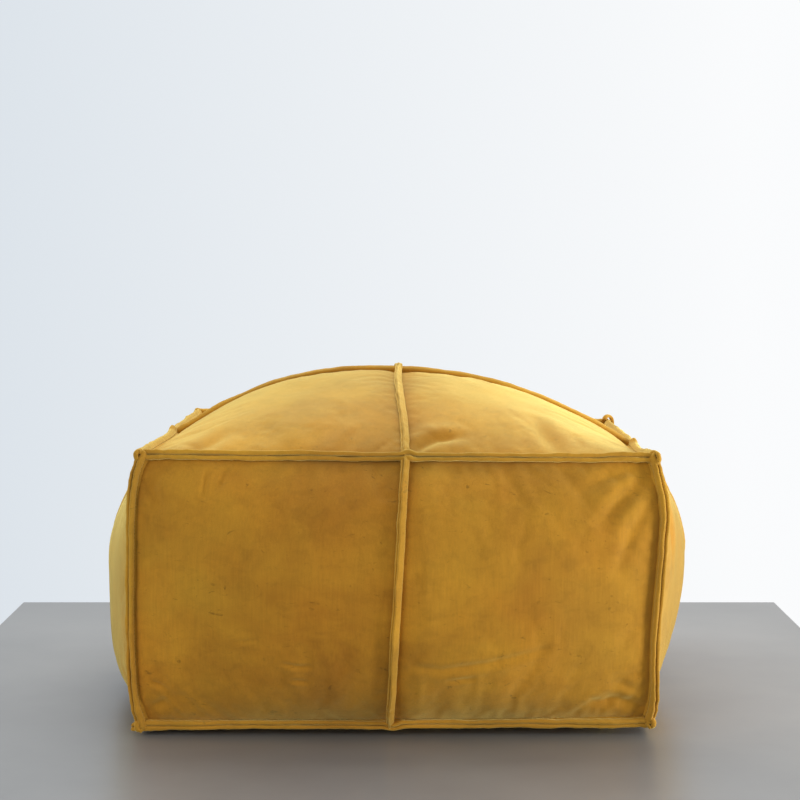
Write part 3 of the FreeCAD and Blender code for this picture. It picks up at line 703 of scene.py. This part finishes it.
def stitch_row(seam, shape, side, seed):
    """Points and faces of a row of stitches along one side of a raised seam."""
    height = np.full_like(shape[1], STITCH_HEIGHT)
    line = settle(place_on_ridge(seam, shape, height, side * shape[2] * 0.42))
    away = unit(line - settle(place_on_ridge(seam, shape, height, np.zeros_like(height))))
    travelled = np.concatenate([[0], np.cumsum(np.linalg.norm(np.diff(line, axis=0), axis=1))])
    margin = 0.008
    starts = np.arange(margin, travelled[-1] - margin - STITCH_LENGTH, STITCH_PITCH)
    jitter = np.random.default_rng(seed).uniform(-0.0002, 0.0002, len(starts))

    def at(distance, table):
        return np.stack([np.interp(distance, travelled, table[:, k]) for k in range(3)], -1)

    rings = []
    for share, size, lift in STITCH:
        distance = starts + jitter + share * STITCH_LENGTH
        middle, out = at(distance, line), unit(at(distance, away))
        forward = unit(at(distance + 0.0005, line) - at(distance - 0.0005, line))
        up = unit(np.cross(out, forward))
        rings.append(np.stack([
            middle + out * THREAD * (lift + size * math.cos(a)) + up * THREAD * size * math.sin(a)
            for a in SIDES], 1))
    points = np.stack(rings, 1)
    faces = []
    for base in range(0, len(starts) * 30, 30):
        faces += grid_faces(5, 6, base, closed=True) + end_caps(5, 6, base)
    return points.reshape(-1, 3), faces


def join(parts):
    """One list of points and one of faces from several."""
    points, faces, total = [], [], 0
    for some, their in parts:
        points.append(np.asarray(some).reshape(-1, 3))
        faces += [[k + total for k in face] for face in their]
        total += len(points[-1])
    return np.concatenate(points), faces


def add_ears(material):
    """At each corner the raised seams run together into a small open loop of cloth."""
    bigger = {(1, 1, 1): 1.75, (1, -1, 1): 1.2}
    corners = [(sx, sy, sz) for sz in (1, -1) for sy in (-1, 1) for sx in (-1, 1)]
    for k, (sx, sy, sz) in enumerate(corners):
        corner = np.array([sx * HALF, sy * HALF, HIGH if sz > 0 else LOW])
        size = bigger.get((sx, sy, sz), 1.0)
        diagonal = unit(np.array([sx, sy, 0.75 * sz], float))
        flat = unit(np.array([sx, sy, 0.0]))
        upward = np.array([0, 0, 1.0])
        turn = np.linspace(-0.90, 0.90, 30) * math.pi
        wobble = 1 + 0.10 * noise(turn / 0.9, 700 + k)
        out = 0.0082 + 0.0056 * size * np.cos(turn) * wobble
        up = 0.0056 * size * np.sin(turn) * wobble + 0.0022 * size * sz
        line = corner + diagonal * 0.0035 + flat * out[:, None] + upward * up[:, None]
        ahead = unit(np.gradient(line, axis=0))
        sideways = unit(np.cross(flat, upward))
        normal = unit(np.cross(ahead, sideways))
        ring = np.linspace(0, 2 * math.pi, 13)[:-1]
        thick = 0.0026 * (1 + 0.12 * noise(turn / 0.5, 720 + k))
        across = 1.35 * sideways * np.sin(ring)[:, None]
        around = normal[:, None] * np.cos(ring)[:, None] + across
        grid = settle(line[:, None] + around * thick[:, None, None])
        faces = grid_faces(len(line), 12, closed=True) + end_caps(len(line), 12)
        add_mesh(f"seam_ear_{k + 1}", grid, faces, material, "velvet")


# How far the raised seams lean, in radians, at even steps along them; the rest have the usual lean
TOP_LEAN = {"front": (0.25, 0.55, 0.62, 0.55, 0.60, 0.50, 0.30)}
BASE_LEAN = {"front": (0.20, 0.62, 0.70, 0.66, 0.70, 0.55, 0.20)}
CORNER_LEAN = {"front": (0.15, 0.25, 0.30, 0.25, 0.1), "left": (-0.1, -0.25, -0.3, -0.2, -0.1)}
MIDDLE_LEAN = {
    "front": (-0.75, -1.05, -1.0, -1.1, -0.8),
    "right": (0.9, 1.15, 1.2, 1.15, 0.8),
    "back": (0.6, 0.8, 0.9, 0.7, 0.5),
    "left": (-0.8, -1.1, -1.15, -1.1, -0.8),
}
USUAL_TOP, USUAL_BASE = (0.3, 0.70, 0.75, 0.7, 0.3), (0.1, 0.5, 0.35, 0.5, 0.1)
USUAL_CORNER = (0.1, -0.15, 0.1, 0.0, 0.1)
LENGTHWISE_LEAN = (-0.9, -1.1, -0.95, -0.35, -0.9, -0.8, -0.6)
CROSSWISE_LEAN = (0.7, 0.95, 1.05, 1.0, 0.9, 1.05, 0.8)


def add_seams(velvet, thread):
    """All the raised seams, and the stitches along them, gathered by face."""
    wall_names = list(WALLS)
    rows = {name: [] for name in ("top", "base", *WALLS)}

    def make(seam, first, second, lean, seed, height=RIDGE, thick=0.0050, knots=()):
        shape = ridge_shape(seam, lean, height, thick, seed, knots)
        add_ridge(seam, shape, velvet["seam"])
        rows[first].append(stitch_row(seam, shape, 1, seed + 50))
        rows[second].append(stitch_row(seam, shape, -1, seed + 51))

    for k, name in enumerate(wall_names):
        following = wall_names[(k + 1) % 4]
        low_reach = (0.0130 if name == "front" else 0.0080, 0.0070)
        make(Seam(f"top_{name}", name, "v", 1, 300, reach=(0.0065, 0.0065)), name, "top",
             TOP_LEAN.get(name, USUAL_TOP), 100 + 20 * k, knots=((0.0, 1.0),))
        make(Seam(f"base_{name}", name, "v", -1, 300, reach=low_reach), name, "base",
             BASE_LEAN.get(name, USUAL_BASE), 200 + 20 * k, knots=((0.0, 0.35),))
        make(Seam(f"corner_{name}_{following}", name, "u", 1, 190, reach=(0.004, 0.004)),
             name, following, CORNER_LEAN.get(name, USUAL_CORNER), 300 + 20 * k)
    above_zip = ZIP_Z + ZIP_EDGE + 0.0015 - LOW
    for k, name in enumerate(wall_names):
        trim, reach = (0.0, 0.0), (0.002, 0.001)
        if name == "back":
            trim, reach = (above_zip, 0.0), (0.0, 0.001)
        make(Seam(f"middle_{name}", name, "u", 0, 190, trim, reach), name, name,
             MIDDLE_LEAN[name], 400 + 20 * k, height=0.0130, thick=0.0034)
    make(Seam("top_lengthwise", "top", "u", 0, 300, reach=(0.001, 0.001)), "top", "top",
         LENGTHWISE_LEAN, 500, height=0.0122, thick=0.0036, knots=((0.0, 0.25),))
    make(Seam("top_crosswise", "top", "v", 0, 300, reach=(0.001, 0.001)), "top", "top",
         CROSSWISE_LEAN, 520, height=0.0095, thick=0.0024)
    add_ears(velvet["seam"])
    for name, parts in rows.items():
        piece = add_mesh(f"stitches_{name}", *join(parts), thread, "thread")
        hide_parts(f"topstitching_{name}")


# ---------------------------------------------------------------- zip and label


class BackWall:
    """Places on the back wall near the zip: x from side to side, up from the zip, depth inward."""

    def surface(self, x, z):
        v = 2 * (z - LOW) / TALL - 1
        u = -x / (HALF + CORNER_BOW * (1 - v**2))
        reach = HALF + CORNER_BOW * (1 - v**2) + (1 - u**2) * (BOW + BULGE * (1 - v**2))
        return np.stack([x, reach, z], -1)

    def place(self, x, up, depth):
        x, up, depth = np.broadcast_arrays(*(np.asarray(k, float) for k in (x, up, depth)))
        z = ZIP_Z + up
        here = self.surface(x, z)
        across = self.surface(x + 0.001, z) - self.surface(x - 0.001, z)
        rising = self.surface(x, z + 0.001) - self.surface(x, z - 0.001)
        outward = unit(np.cross(rising, across))
        return here - outward * depth[..., None]


# depths below the back wall's surface, and where the end tabs start on it
COIL_CREST, COIL_BASE, TAPE_FACE = 0.0010, 0.0027, 0.0029
TAB_START = 0.752
COIL_PITCH, COIL_WIRE = 0.0015, 0.00036
# one loop of the coil: distance from the zip's middle, share of the way down from crest to base
COIL_LOOP = ((0.0033, 0.90), (0.0031, 0.45), (0.0025, 0.12), (0.0018, 0.05), (0.0013, 0.22),
             (0.00125, 0.60), (0.0016, 0.88))


def add_zip(materials, velvet):
    wall = BackWall()
    for name, sign in (("upper", 1), ("lower", -1)):
        x = np.linspace(-ZIP_HALF - 0.0075, ZIP_HALF + 0.0075, 320)
        up = sign * np.concatenate([[0.0011, 0.0040], np.linspace(0.0045, 0.0148, 14)])
        X, UP = np.meshgrid(x, up)
        rib = 0.00006 * np.sin(UP / 0.0011 * 2 * np.pi)
        grid = wall.place(X, UP, TAPE_FACE - rib)
        tape = sheet_mesh(grid if sign < 0 else grid[::-1], 0.0005)
        piece = add_mesh(f"zip_tape_{name}_woven", *tape, materials["tape"], "zip_tape")
        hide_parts(f"zip_tape_{name}")
        teeth = coil(wall, sign)
        piece = add_mesh(f"zip_coil_{name}_teeth", *teeth, materials["coil"], "zip_coil")
        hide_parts(f"zip_coil_{name}")
    for name, ends in (("right", (-1.0, -TAB_START)), ("left", (TAB_START, 1.0))):
        u = np.linspace(*ends, 40)
        v = np.linspace(ZIP_V - EDGE_V * 1.6, ZIP_V + EDGE_V * 1.6, 14)
        base = smooth_face("back", u, v)
        x, y = face_metres("back", u, v)
        height = -0.0011 - 0.0004 * np.abs(noise_2d(x / 0.012, y / 0.004, 61))
        tab = sheet_mesh(base + normals_of(base) * height[..., None], 0.0012)
        piece = add_mesh(f"zip_end_{name}_cloth", *tab, velvet["back"], "velvet")
        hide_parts(f"zip_end_tab_{name}")
    for name in ("zip_slider", "zip_pull", "zip_top_stops", "zip_bottom_stop"):
        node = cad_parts[name]
        node.data.materials.clear()
        node.data.materials.append(materials["metal"])
        bevel = node.modifiers.new("soft_edges", "BEVEL")
        bevel.width, bevel.segments, bevel.limit_method = 0.00022, 3, "ANGLE"
    starts = np.arange(-ZIP_HALF - 0.010, ZIP_HALF + 0.010, STITCH_PITCH)
    stitched = [dash(wall, x0, x0 + 0.0034, sign * (ZIP_EDGE + 0.0032))
                for sign in (1, -1) for x0 in starts]
    add_mesh("stitches_zip", *join(stitched), materials["thread"], "thread")


def dash(wall, x0, x1, up, thick=0.00034):
    """One stitch flat on the back wall, from x0 to x1."""
    rings = []
    for share, size, lift in FLAT_STITCH:
        x = np.full(6, x0 + (x1 - x0) * share)
        out = thick * (lift + size * np.cos(SIDES))
        rings.append(wall.place(x, up + thick * size * np.sin(SIDES), -out))
    return np.stack(rings), grid_faces(5, 6, closed=True)


def coil(wall, sign):
    """One row of the zip's coil: bent plastic loops side by side, each a flattened arch."""
    deep = COIL_BASE - COIL_CREST
    parts = []
    start = -ZIP_HALF + COIL_PITCH * (0.5 if sign > 0 else 1.0)
    for k in range(int(2 * ZIP_HALF / COIL_PITCH)):
        x0 = start + k * COIL_PITCH
        rings = []
        for n, (up, down) in enumerate(COIL_LOOP):
            before, after = COIL_LOOP[max(n - 1, 0)], COIL_LOOP[min(n + 1, len(COIL_LOOP) - 1)]
            run = np.array([(after[0] - before[0]), -(after[1] - before[1]) * deep])
            run = run / np.linalg.norm(run)
            x = x0 + (up - 0.0022) * 0.16 + COIL_WIRE * np.cos(SIDES)
            side = up - COIL_WIRE * np.sin(SIDES) * run[1]
            middle = COIL_CREST + COIL_WIRE + down * (deep - 2 * COIL_WIRE)
            rings.append(wall.place(x, sign * side, middle - COIL_WIRE * np.sin(SIDES) * run[0]))
        parts.append((np.stack(rings), grid_faces(len(COIL_LOOP), 6, closed=True)))
    return join(parts)


def add_label(materials):
    """A blank satin label on the strip under the zip, with its lower edge curled out."""
    wall = BackWall()
    low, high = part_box("care_label")
    middle = (low.z + high.z) / 2 - ZIP_Z
    x = np.linspace(low.x + 0.0004, high.x - 0.0004, 46)
    up = np.linspace(middle - 0.0118, middle + 0.0118, 28)
    X, UP = np.meshgrid(x, up)
    share = (UP - up[0]) / (up[-1] - up[0])
    curl = 0.0011 * (1 - share) ** 2 * (0.6 + 0.4 * noise(X / 0.014, 71))
    satin = sheet_mesh(wall.place(X, UP, -0.0003 - curl)[::-1], 0.00035)
    piece = add_mesh("care_label_satin", *satin, materials["label"], "label")
    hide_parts("care_label")
    starts = np.arange(low.x + 0.002, high.x - 0.004, 0.0030)
    points, faces = join([dash(wall, x0, x0 + 0.0022, up[-1] - 0.0014, THREAD) for x0 in starts])
    lift = np.array([0, 0.00045, 0])
    add_mesh("stitches_label", points + lift, faces, materials["thread"], "thread")


# ---------------------------------------------------------------- inside


def add_inside(materials):
    """The cotton inner bag and the filling, closed forms of their own inside the cover."""
    liners = [f"liner_{k}" for k in ("top", "base", *WALLS)]
    for name, inset, material, slot, nodes in (
        ("inner_bag", 0.0045, "cotton", "liner_cotton", liners),
        ("loose_filling", 0.0075, "filling", "filling", ["filling"]),
    ):
        parts = []
        for face in ("top", "base", *WALLS):
            t = np.linspace(-1, 1, 48)
            grid = smooth_face(face, t, t if face in ("top", "base") else t[::2], inset)
            x, y, z = grid[..., 0], grid[..., 1] * 0.982 - 0.003, np.maximum(grid[..., 2], inset)
            grid = np.stack([x, y, z], -1)
            ripple = 0.0006 * noise_2d(x / 0.03, (y + z) / 0.03, 81) - 0.0008
            edge = smooth_step(np.minimum(HALF - np.abs(x), 0.02) / 0.02)
            turn = -1 if face == "base" else 1
            grid = grid + normals_of(grid) * (ripple * edge)[..., None] * turn
            parts.append((settle(grid), [q[::turn] for q in grid_faces(*grid.shape[:2])]))
        piece = add_mesh(name, *join(parts), materials[material], slot)
        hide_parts(*nodes)


# ---------------------------------------------------------------- materials


class Nodes:
    """A short way to build the nodes of a material or of the world."""

    def __init__(self, owner, shader="Principled BSDF"):
        owner.use_nodes = True
        self.owner, self.tree = owner, owner.node_tree
        self.shader = self.tree.nodes[shader]
        self.place = self.add("ShaderNodeTexCoord").outputs

    def add(self, kind, inputs=(), **values):
        node = self.tree.nodes.new(kind)
        for key, value in values.items():
            setattr(node, key, value)
        for key, value in dict(inputs).items():
            node.inputs[key].default_value = value
        return node

    def link(self, a, b):
        self.tree.links.new(a, b)

    def noise(self, scale, detail=2.0, rough=0.5, stretch=(1, 1, 1), distortion=0.0):
        mapping = self.add("ShaderNodeMapping", {"Scale": stretch})
        self.link(self.place["Object"], mapping.inputs["Vector"])
        node = self.add("ShaderNodeTexNoise", {"Scale": scale, "Detail": detail,
                                               "Roughness": rough, "Distortion": distortion})
        self.link(mapping.outputs["Vector"], node.inputs["Vector"])
        return node.outputs["Fac"]

    def wave(self, inputs, **values):
        node = self.add("ShaderNodeTexWave", inputs, wave_type="BANDS", **values)
        self.link(self.place["Object"], node.inputs["Vector"])
        return node.outputs["Fac"]

    def ramp(self, source, *stops):
        """A colour ramp; a stop is a place and a colour, or a place and a grey."""
        node = self.add("ShaderNodeValToRGB")
        elements = node.color_ramp.elements
        while len(elements) < len(stops):
            elements.new(0.5)
        for element, (place, colour) in zip(elements, stops):
            element.position = place
            element.color = (*(colour if isinstance(colour, tuple) else [colour] * 3), 1)
        self.link(source, node.inputs["Fac"])
        return node.outputs["Color"]

    def in_range(self, source, inputs):
        node = self.add("ShaderNodeMapRange", inputs)
        self.link(source, node.inputs["Value"])
        return node.outputs["Result"]

    def mix(self, factor, a, b, blend="MIX"):
        node = self.add("ShaderNodeMix", data_type="RGBA", blend_type=blend)
        for socket, value in (("Factor", factor), ("A", a), ("B", b)):
            target = [i for i in node.inputs if i.name == socket and i.enabled][0]
            if isinstance(value, bpy.types.NodeSocket):
                self.link(value, target)
            else:
                target.default_value = value if socket == "Factor" else (*value, 1)
        return [o for o in node.outputs if o.enabled][0]

    def shade(self, factor, colour, source, *stops):
        """Darkens and lightens a colour by a ramp of greys."""
        return self.mix(factor, colour, self.ramp(source, *stops), "MULTIPLY")

    def maths(self, operation, a, b):
        node = self.add("ShaderNodeMath", operation=operation)
        for socket, value in zip(node.inputs, (a, b)):
            if isinstance(value, bpy.types.NodeSocket):
                self.link(value, socket)
            else:
                socket.default_value = value
        return node.outputs["Value"]

    def finish(self, colour, height=None, bump=(), **values):
        """Links the colour and the bump, and sets the shader's own sockets by name."""
        self.link(colour, self.shader.inputs["Base Color"])
        for key, value in values.items():
            self.shader.inputs[key.replace("_", " ")].default_value = value
        if height is not None:
            node = self.add("ShaderNodeBump", {"Strength": bump[0], "Distance": bump[1]})
            self.link(height, node.inputs["Height"])
            self.link(node.outputs["Normal"], self.shader.inputs["Normal"])
        return self.owner


def new_material(name):
    return Nodes(bpy.data.materials.new(name))


DEEP, GOLD, OLIVE = (0.385, 0.154, 0.0115), (0.575, 0.268, 0.0200), (0.360, 0.205, 0.0170)
AMBER, PAINTED_SHEEN_GOLD = (0.520, 0.200, 0.0140), (0.66, 0.44, 0.06)


def velvet_material(name, streaks, painted_sheen=0.0):
    """Mustard cotton velvet: short pile, brushed unevenly, with a soft sheen."""
    n = new_material(name)
    patches = n.ramp(n.noise(6.0, 4.5, 0.60, (1, 1, 1.2), 0.5), (0.36, 0), (0.64, 1))
    colour = n.mix(patches, DEEP, GOLD)
    drift = n.ramp(n.noise(4.2, 3.0, 0.5, (1.2, 1, 1)), (0.42, 0), (0.72, 1))
    colour = n.mix(n.maths("MULTIPLY", drift, 0.45), colour, OLIVE)
    warm = n.ramp(n.noise(11.0, 3.0, 0.55), (0.48, 0), (0.74, 1))
    colour = n.mix(n.maths("MULTIPLY", warm, 0.40), colour, AMBER)
    brushed = n.noise(1.0, 3.0, 0.6, streaks)
    colour = n.shade(0.45, colour, brushed, (0.30, 0.86), (0.70, 1.12))
    bruised = n.noise(48.0, 4.0, 0.62, (1, 1, 1.5), 0.6)
    colour = n.shade(0.55, colour, bruised, (0.36, 0.84), (0.52, 1.0))
    flecks = n.noise(52.0, 5.0, 0.66, (1, 1, 1.9), 1.2)
    colour = n.shade(0.80, colour, flecks, (0.29, 0.50), (0.37, 1.0))
    pile = n.noise(1500.0, 2.0, 0.7)
    colour = n.shade(0.6, colour, pile, (0.35, 0.86), (0.65, 1.10))
    # Painted sheen: the raised seams' colour is lightened towards a pale gold, standing in for the
    # light their folds catch.
    if painted_sheen:
        colour = n.mix(painted_sheen, colour, PAINTED_SHEEN_GOLD)
    nap = n.noise(1.0, 2.0, 0.5, tuple(k * 1.7 for k in streaks))
    height = n.maths("ADD", n.maths("MULTIPLY", pile, 0.70), n.maths("MULTIPLY", nap, 0.22))
    return n.finish(colour, height, (0.42, 0.0007), Roughness=0.88, Specular_IOR_Level=0.18,
                    Sheen_Weight=0.85, Sheen_Roughness=0.46, Sheen_Tint=(1.0, 0.88, 0.30, 1))


def thread_material():
    n = new_material("velvet_thread")
    twist = n.wave({"Scale": 900, "Distortion": 1.2}, bands_direction="DIAGONAL")
    colour = n.ramp(twist, (0.2, (0.20, 0.092, 0.010)), (0.8, (0.38, 0.19, 0.020)))
    return n.finish(colour, twist, (0.5, 0.0001), Roughness=0.75, Specular_IOR_Level=0.2)


def tape_material():
    """Woven herringbone tape in the velvet's colour."""
    n = new_material("zip_tape_weave")
    weave = n.wave({"Scale": 420, "Distortion": 0.6}, bands_direction="DIAGONAL",
                   wave_profile="TRI")
    colour = n.ramp(weave, (0.15, (0.34, 0.165, 0.020)), (0.85, (0.52, 0.27, 0.038)))
    colour = n.shade(0.4, colour, n.noise(60.0, 3.0, 0.6), (0.3, 0.8), (0.7, 1.15))
    return n.finish(colour, weave, (0.6, 0.00015), Roughness=0.8, Sheen_Weight=0.25)


def coil_material():
    n = new_material("zip_coil_nylon")
    tint = n.noise(140.0, 3.0, 0.6)
    colour = n.ramp(tint, (0.3, (0.38, 0.19, 0.022)), (0.7, (0.52, 0.28, 0.040)))
    return n.finish(colour, n.noise(2600.0, 2.0, 0.5), (0.15, 0.0001), Roughness=0.36)


def metal_material():
    """Antique brass, a little scratched and darker in places."""
    n = new_material("zip_antique_brass")
    colour = n.ramp(n.noise(260.0, 5.0, 0.65), (0.30, (0.20, 0.125, 0.045)),
                    (0.55, (0.46, 0.32, 0.125)), (0.8, (0.60, 0.45, 0.20)))
    scratches = n.noise(1.0, 2.0, 0.5, (2600, 260, 2600))
    rough = n.in_range(scratches, {"To Min": 0.26, "To Max": 0.48})
    n.link(rough, n.shader.inputs["Roughness"])
    return n.finish(colour, scratches, (0.12, 0.0001), Metallic=1.0)


def cloth_material(name, dark, light, scale, sheen, rough):
    """A plain woven cloth: two crossed sets of threads."""
    n = new_material(name)
    threads = {"Scale": scale, "Distortion": 0.8, "Detail": 1.0}
    weave = n.maths("MAXIMUM", *(n.wave(threads, bands_direction=k) for k in ("X", "Z")))
    colour = n.ramp(weave, (0.2, dark), (0.9, light))
    colour = n.shade(0.7, colour, n.noise(30.0, 4.0, 0.6), (0.3, 0.93), (0.7, 1.04))
    return n.finish(colour, weave, (0.35, 0.0002), Roughness=rough, Sheen_Weight=sheen)


def fibre_material():
    n = new_material("filling_fibre")
    strands = n.noise(220.0, 6.0, 0.75, (1, 1, 1), 1.5)
    colour = n.ramp(strands, (0.3, (0.70, 0.69, 0.66)), (0.7, (0.90, 0.89, 0.86)))
    return n.finish(colour, strands, (0.8, 0.001), Roughness=0.95, Sheen_Weight=0.4)


# ---------------------------------------------------------------- stage, light, camera

FLOOR_HALF = 0.61
LENS, SENSOR, PITCH_DOWN = 94.5, 36.0, 4.4
CAMERA_PLACE = (0.002, -2.77, 0.590)
MIDDLE = (0, 0, 0.2)
WARM = (1.0, 0.97, 0.92)
# name, place, what it points at, watts, size, colour
LIGHTS = (
    ("window_right", (2.0, 0.15, 0.16), (0, 0, 0.14), 16, 0.8, WARM),
    ("overhead", (-0.15, 0.9, 2.0), MIDDLE, 33, 1.5, (1.0, 0.98, 0.95)),
    ("window_front", (2.0, -0.80, 0.20), (0.2, -0.3, 0.16), 30, 0.7, WARM),
    ("front_fill", (-1.7, -2.4, 0.9), MIDDLE, 28, 1.4, (1.0, 0.97, 0.93)),
)


def add_stage():
    """A grey floor that ends a little behind the cushion."""
    n = new_material("studio_floor")
    tone = n.ramp(n.noise(2.2, 5.0, 0.6), (0.3, 0.175), (0.7, (0.235, 0.235, 0.230)))
    mesh = bpy.data.meshes.new("floor")
    corners = [(x * FLOOR_HALF, y * FLOOR_HALF, 0) for x, y in ((-1, -1), (1, -1), (1, 1), (-1, 1))]
    mesh.from_pydata(corners, [], [(0, 1, 2, 3)])
    mesh.materials.append(n.finish(tone, Roughness=0.34, Specular_IOR_Level=0.5))
    add_object("floor", mesh)


def add_world():
    """A pale wall, brighter to the right and dimmer behind the camera."""
    world = bpy.data.worlds.new("studio")
    n = Nodes(world, "Background")
    parts = n.add("ShaderNodeSeparateXYZ")
    n.link(n.place["Generated"], parts.inputs["Vector"])
    across = n.in_range(parts.outputs["X"], {"From Min": -0.25, "From Max": 0.16})
    wall = n.ramp(across, (0, (0.68, 0.74, 0.80)), (1, (0.96, 0.97, 0.98)))
    depth = n.in_range(parts.outputs["Y"], {"From Min": -0.7, "From Max": 0.3, "To Min": 0.46})
    dimmed = n.add("ShaderNodeVectorMath", operation="SCALE")
    n.link(wall, dimmed.inputs[0])
    n.link(depth, dimmed.inputs["Scale"])
    n.link(dimmed.outputs["Vector"], n.shader.inputs["Color"])
    n.shader.inputs["Strength"].default_value = 1.0
    bpy.context.scene.world = world


def add_lights_and_camera():
    for name, place, target, energy, size, colour in LIGHTS:
        lamp = bpy.data.lights.new(name, "AREA")
        lamp.energy, lamp.size, lamp.color = energy, size, colour
        holder = add_object(name, lamp)
        holder.location = place
        aim = (Vector(target) - Vector(place)).to_track_quat("-Z", "Y")
        holder.rotation_euler = aim.to_euler()
    lens = bpy.data.cameras.new("camera")
    lens.lens, lens.sensor_width = LENS, SENSOR
    camera = add_object("camera", lens)
    camera.location = CAMERA_PLACE
    camera.rotation_euler = (math.radians(90 - PITCH_DOWN), 0, 0)
    bpy.context.scene.camera = camera
    bpy.context.scene.view_settings.view_transform = "Standard"


def main():
    learn_puckers()
    upright, lying = (420, 420, 26), (420, 30, 420)
    velvet = {name: velvet_material(f"velvet_{name}", upright) for name in WALLS}
    velvet["top"] = velvet_material("velvet_top", lying)
    velvet["base"] = velvet_material("velvet_base", lying)
    # The raised seams' velvet carries a painted sheen, so it is lighter than the panels' velvet.
    velvet["seam"] = velvet_material("velvet_seam", (300, 300, 300), painted_sheen=0.14)
    materials = {
        "thread": thread_material(),
        "tape": tape_material(),
        "coil": coil_material(),
        "metal": metal_material(),
        "cotton": cloth_material("liner_cotton_weave", (0.62, 0.58, 0.50), (0.80, 0.77, 0.69),
                                 700, 0.1, 0.9),
        "label": cloth_material("label_satin", (0.72, 0.71, 0.68), (0.88, 0.87, 0.84),
                                1500, 0.3, 0.45),
        "filling": fibre_material(),
    }
    add_panels(velvet)
    add_seams(velvet, materials["thread"])
    add_zip(materials, velvet)
    add_label(materials)
    add_inside(materials)
    add_stage()
    add_world()
    add_lights_and_camera()


main()
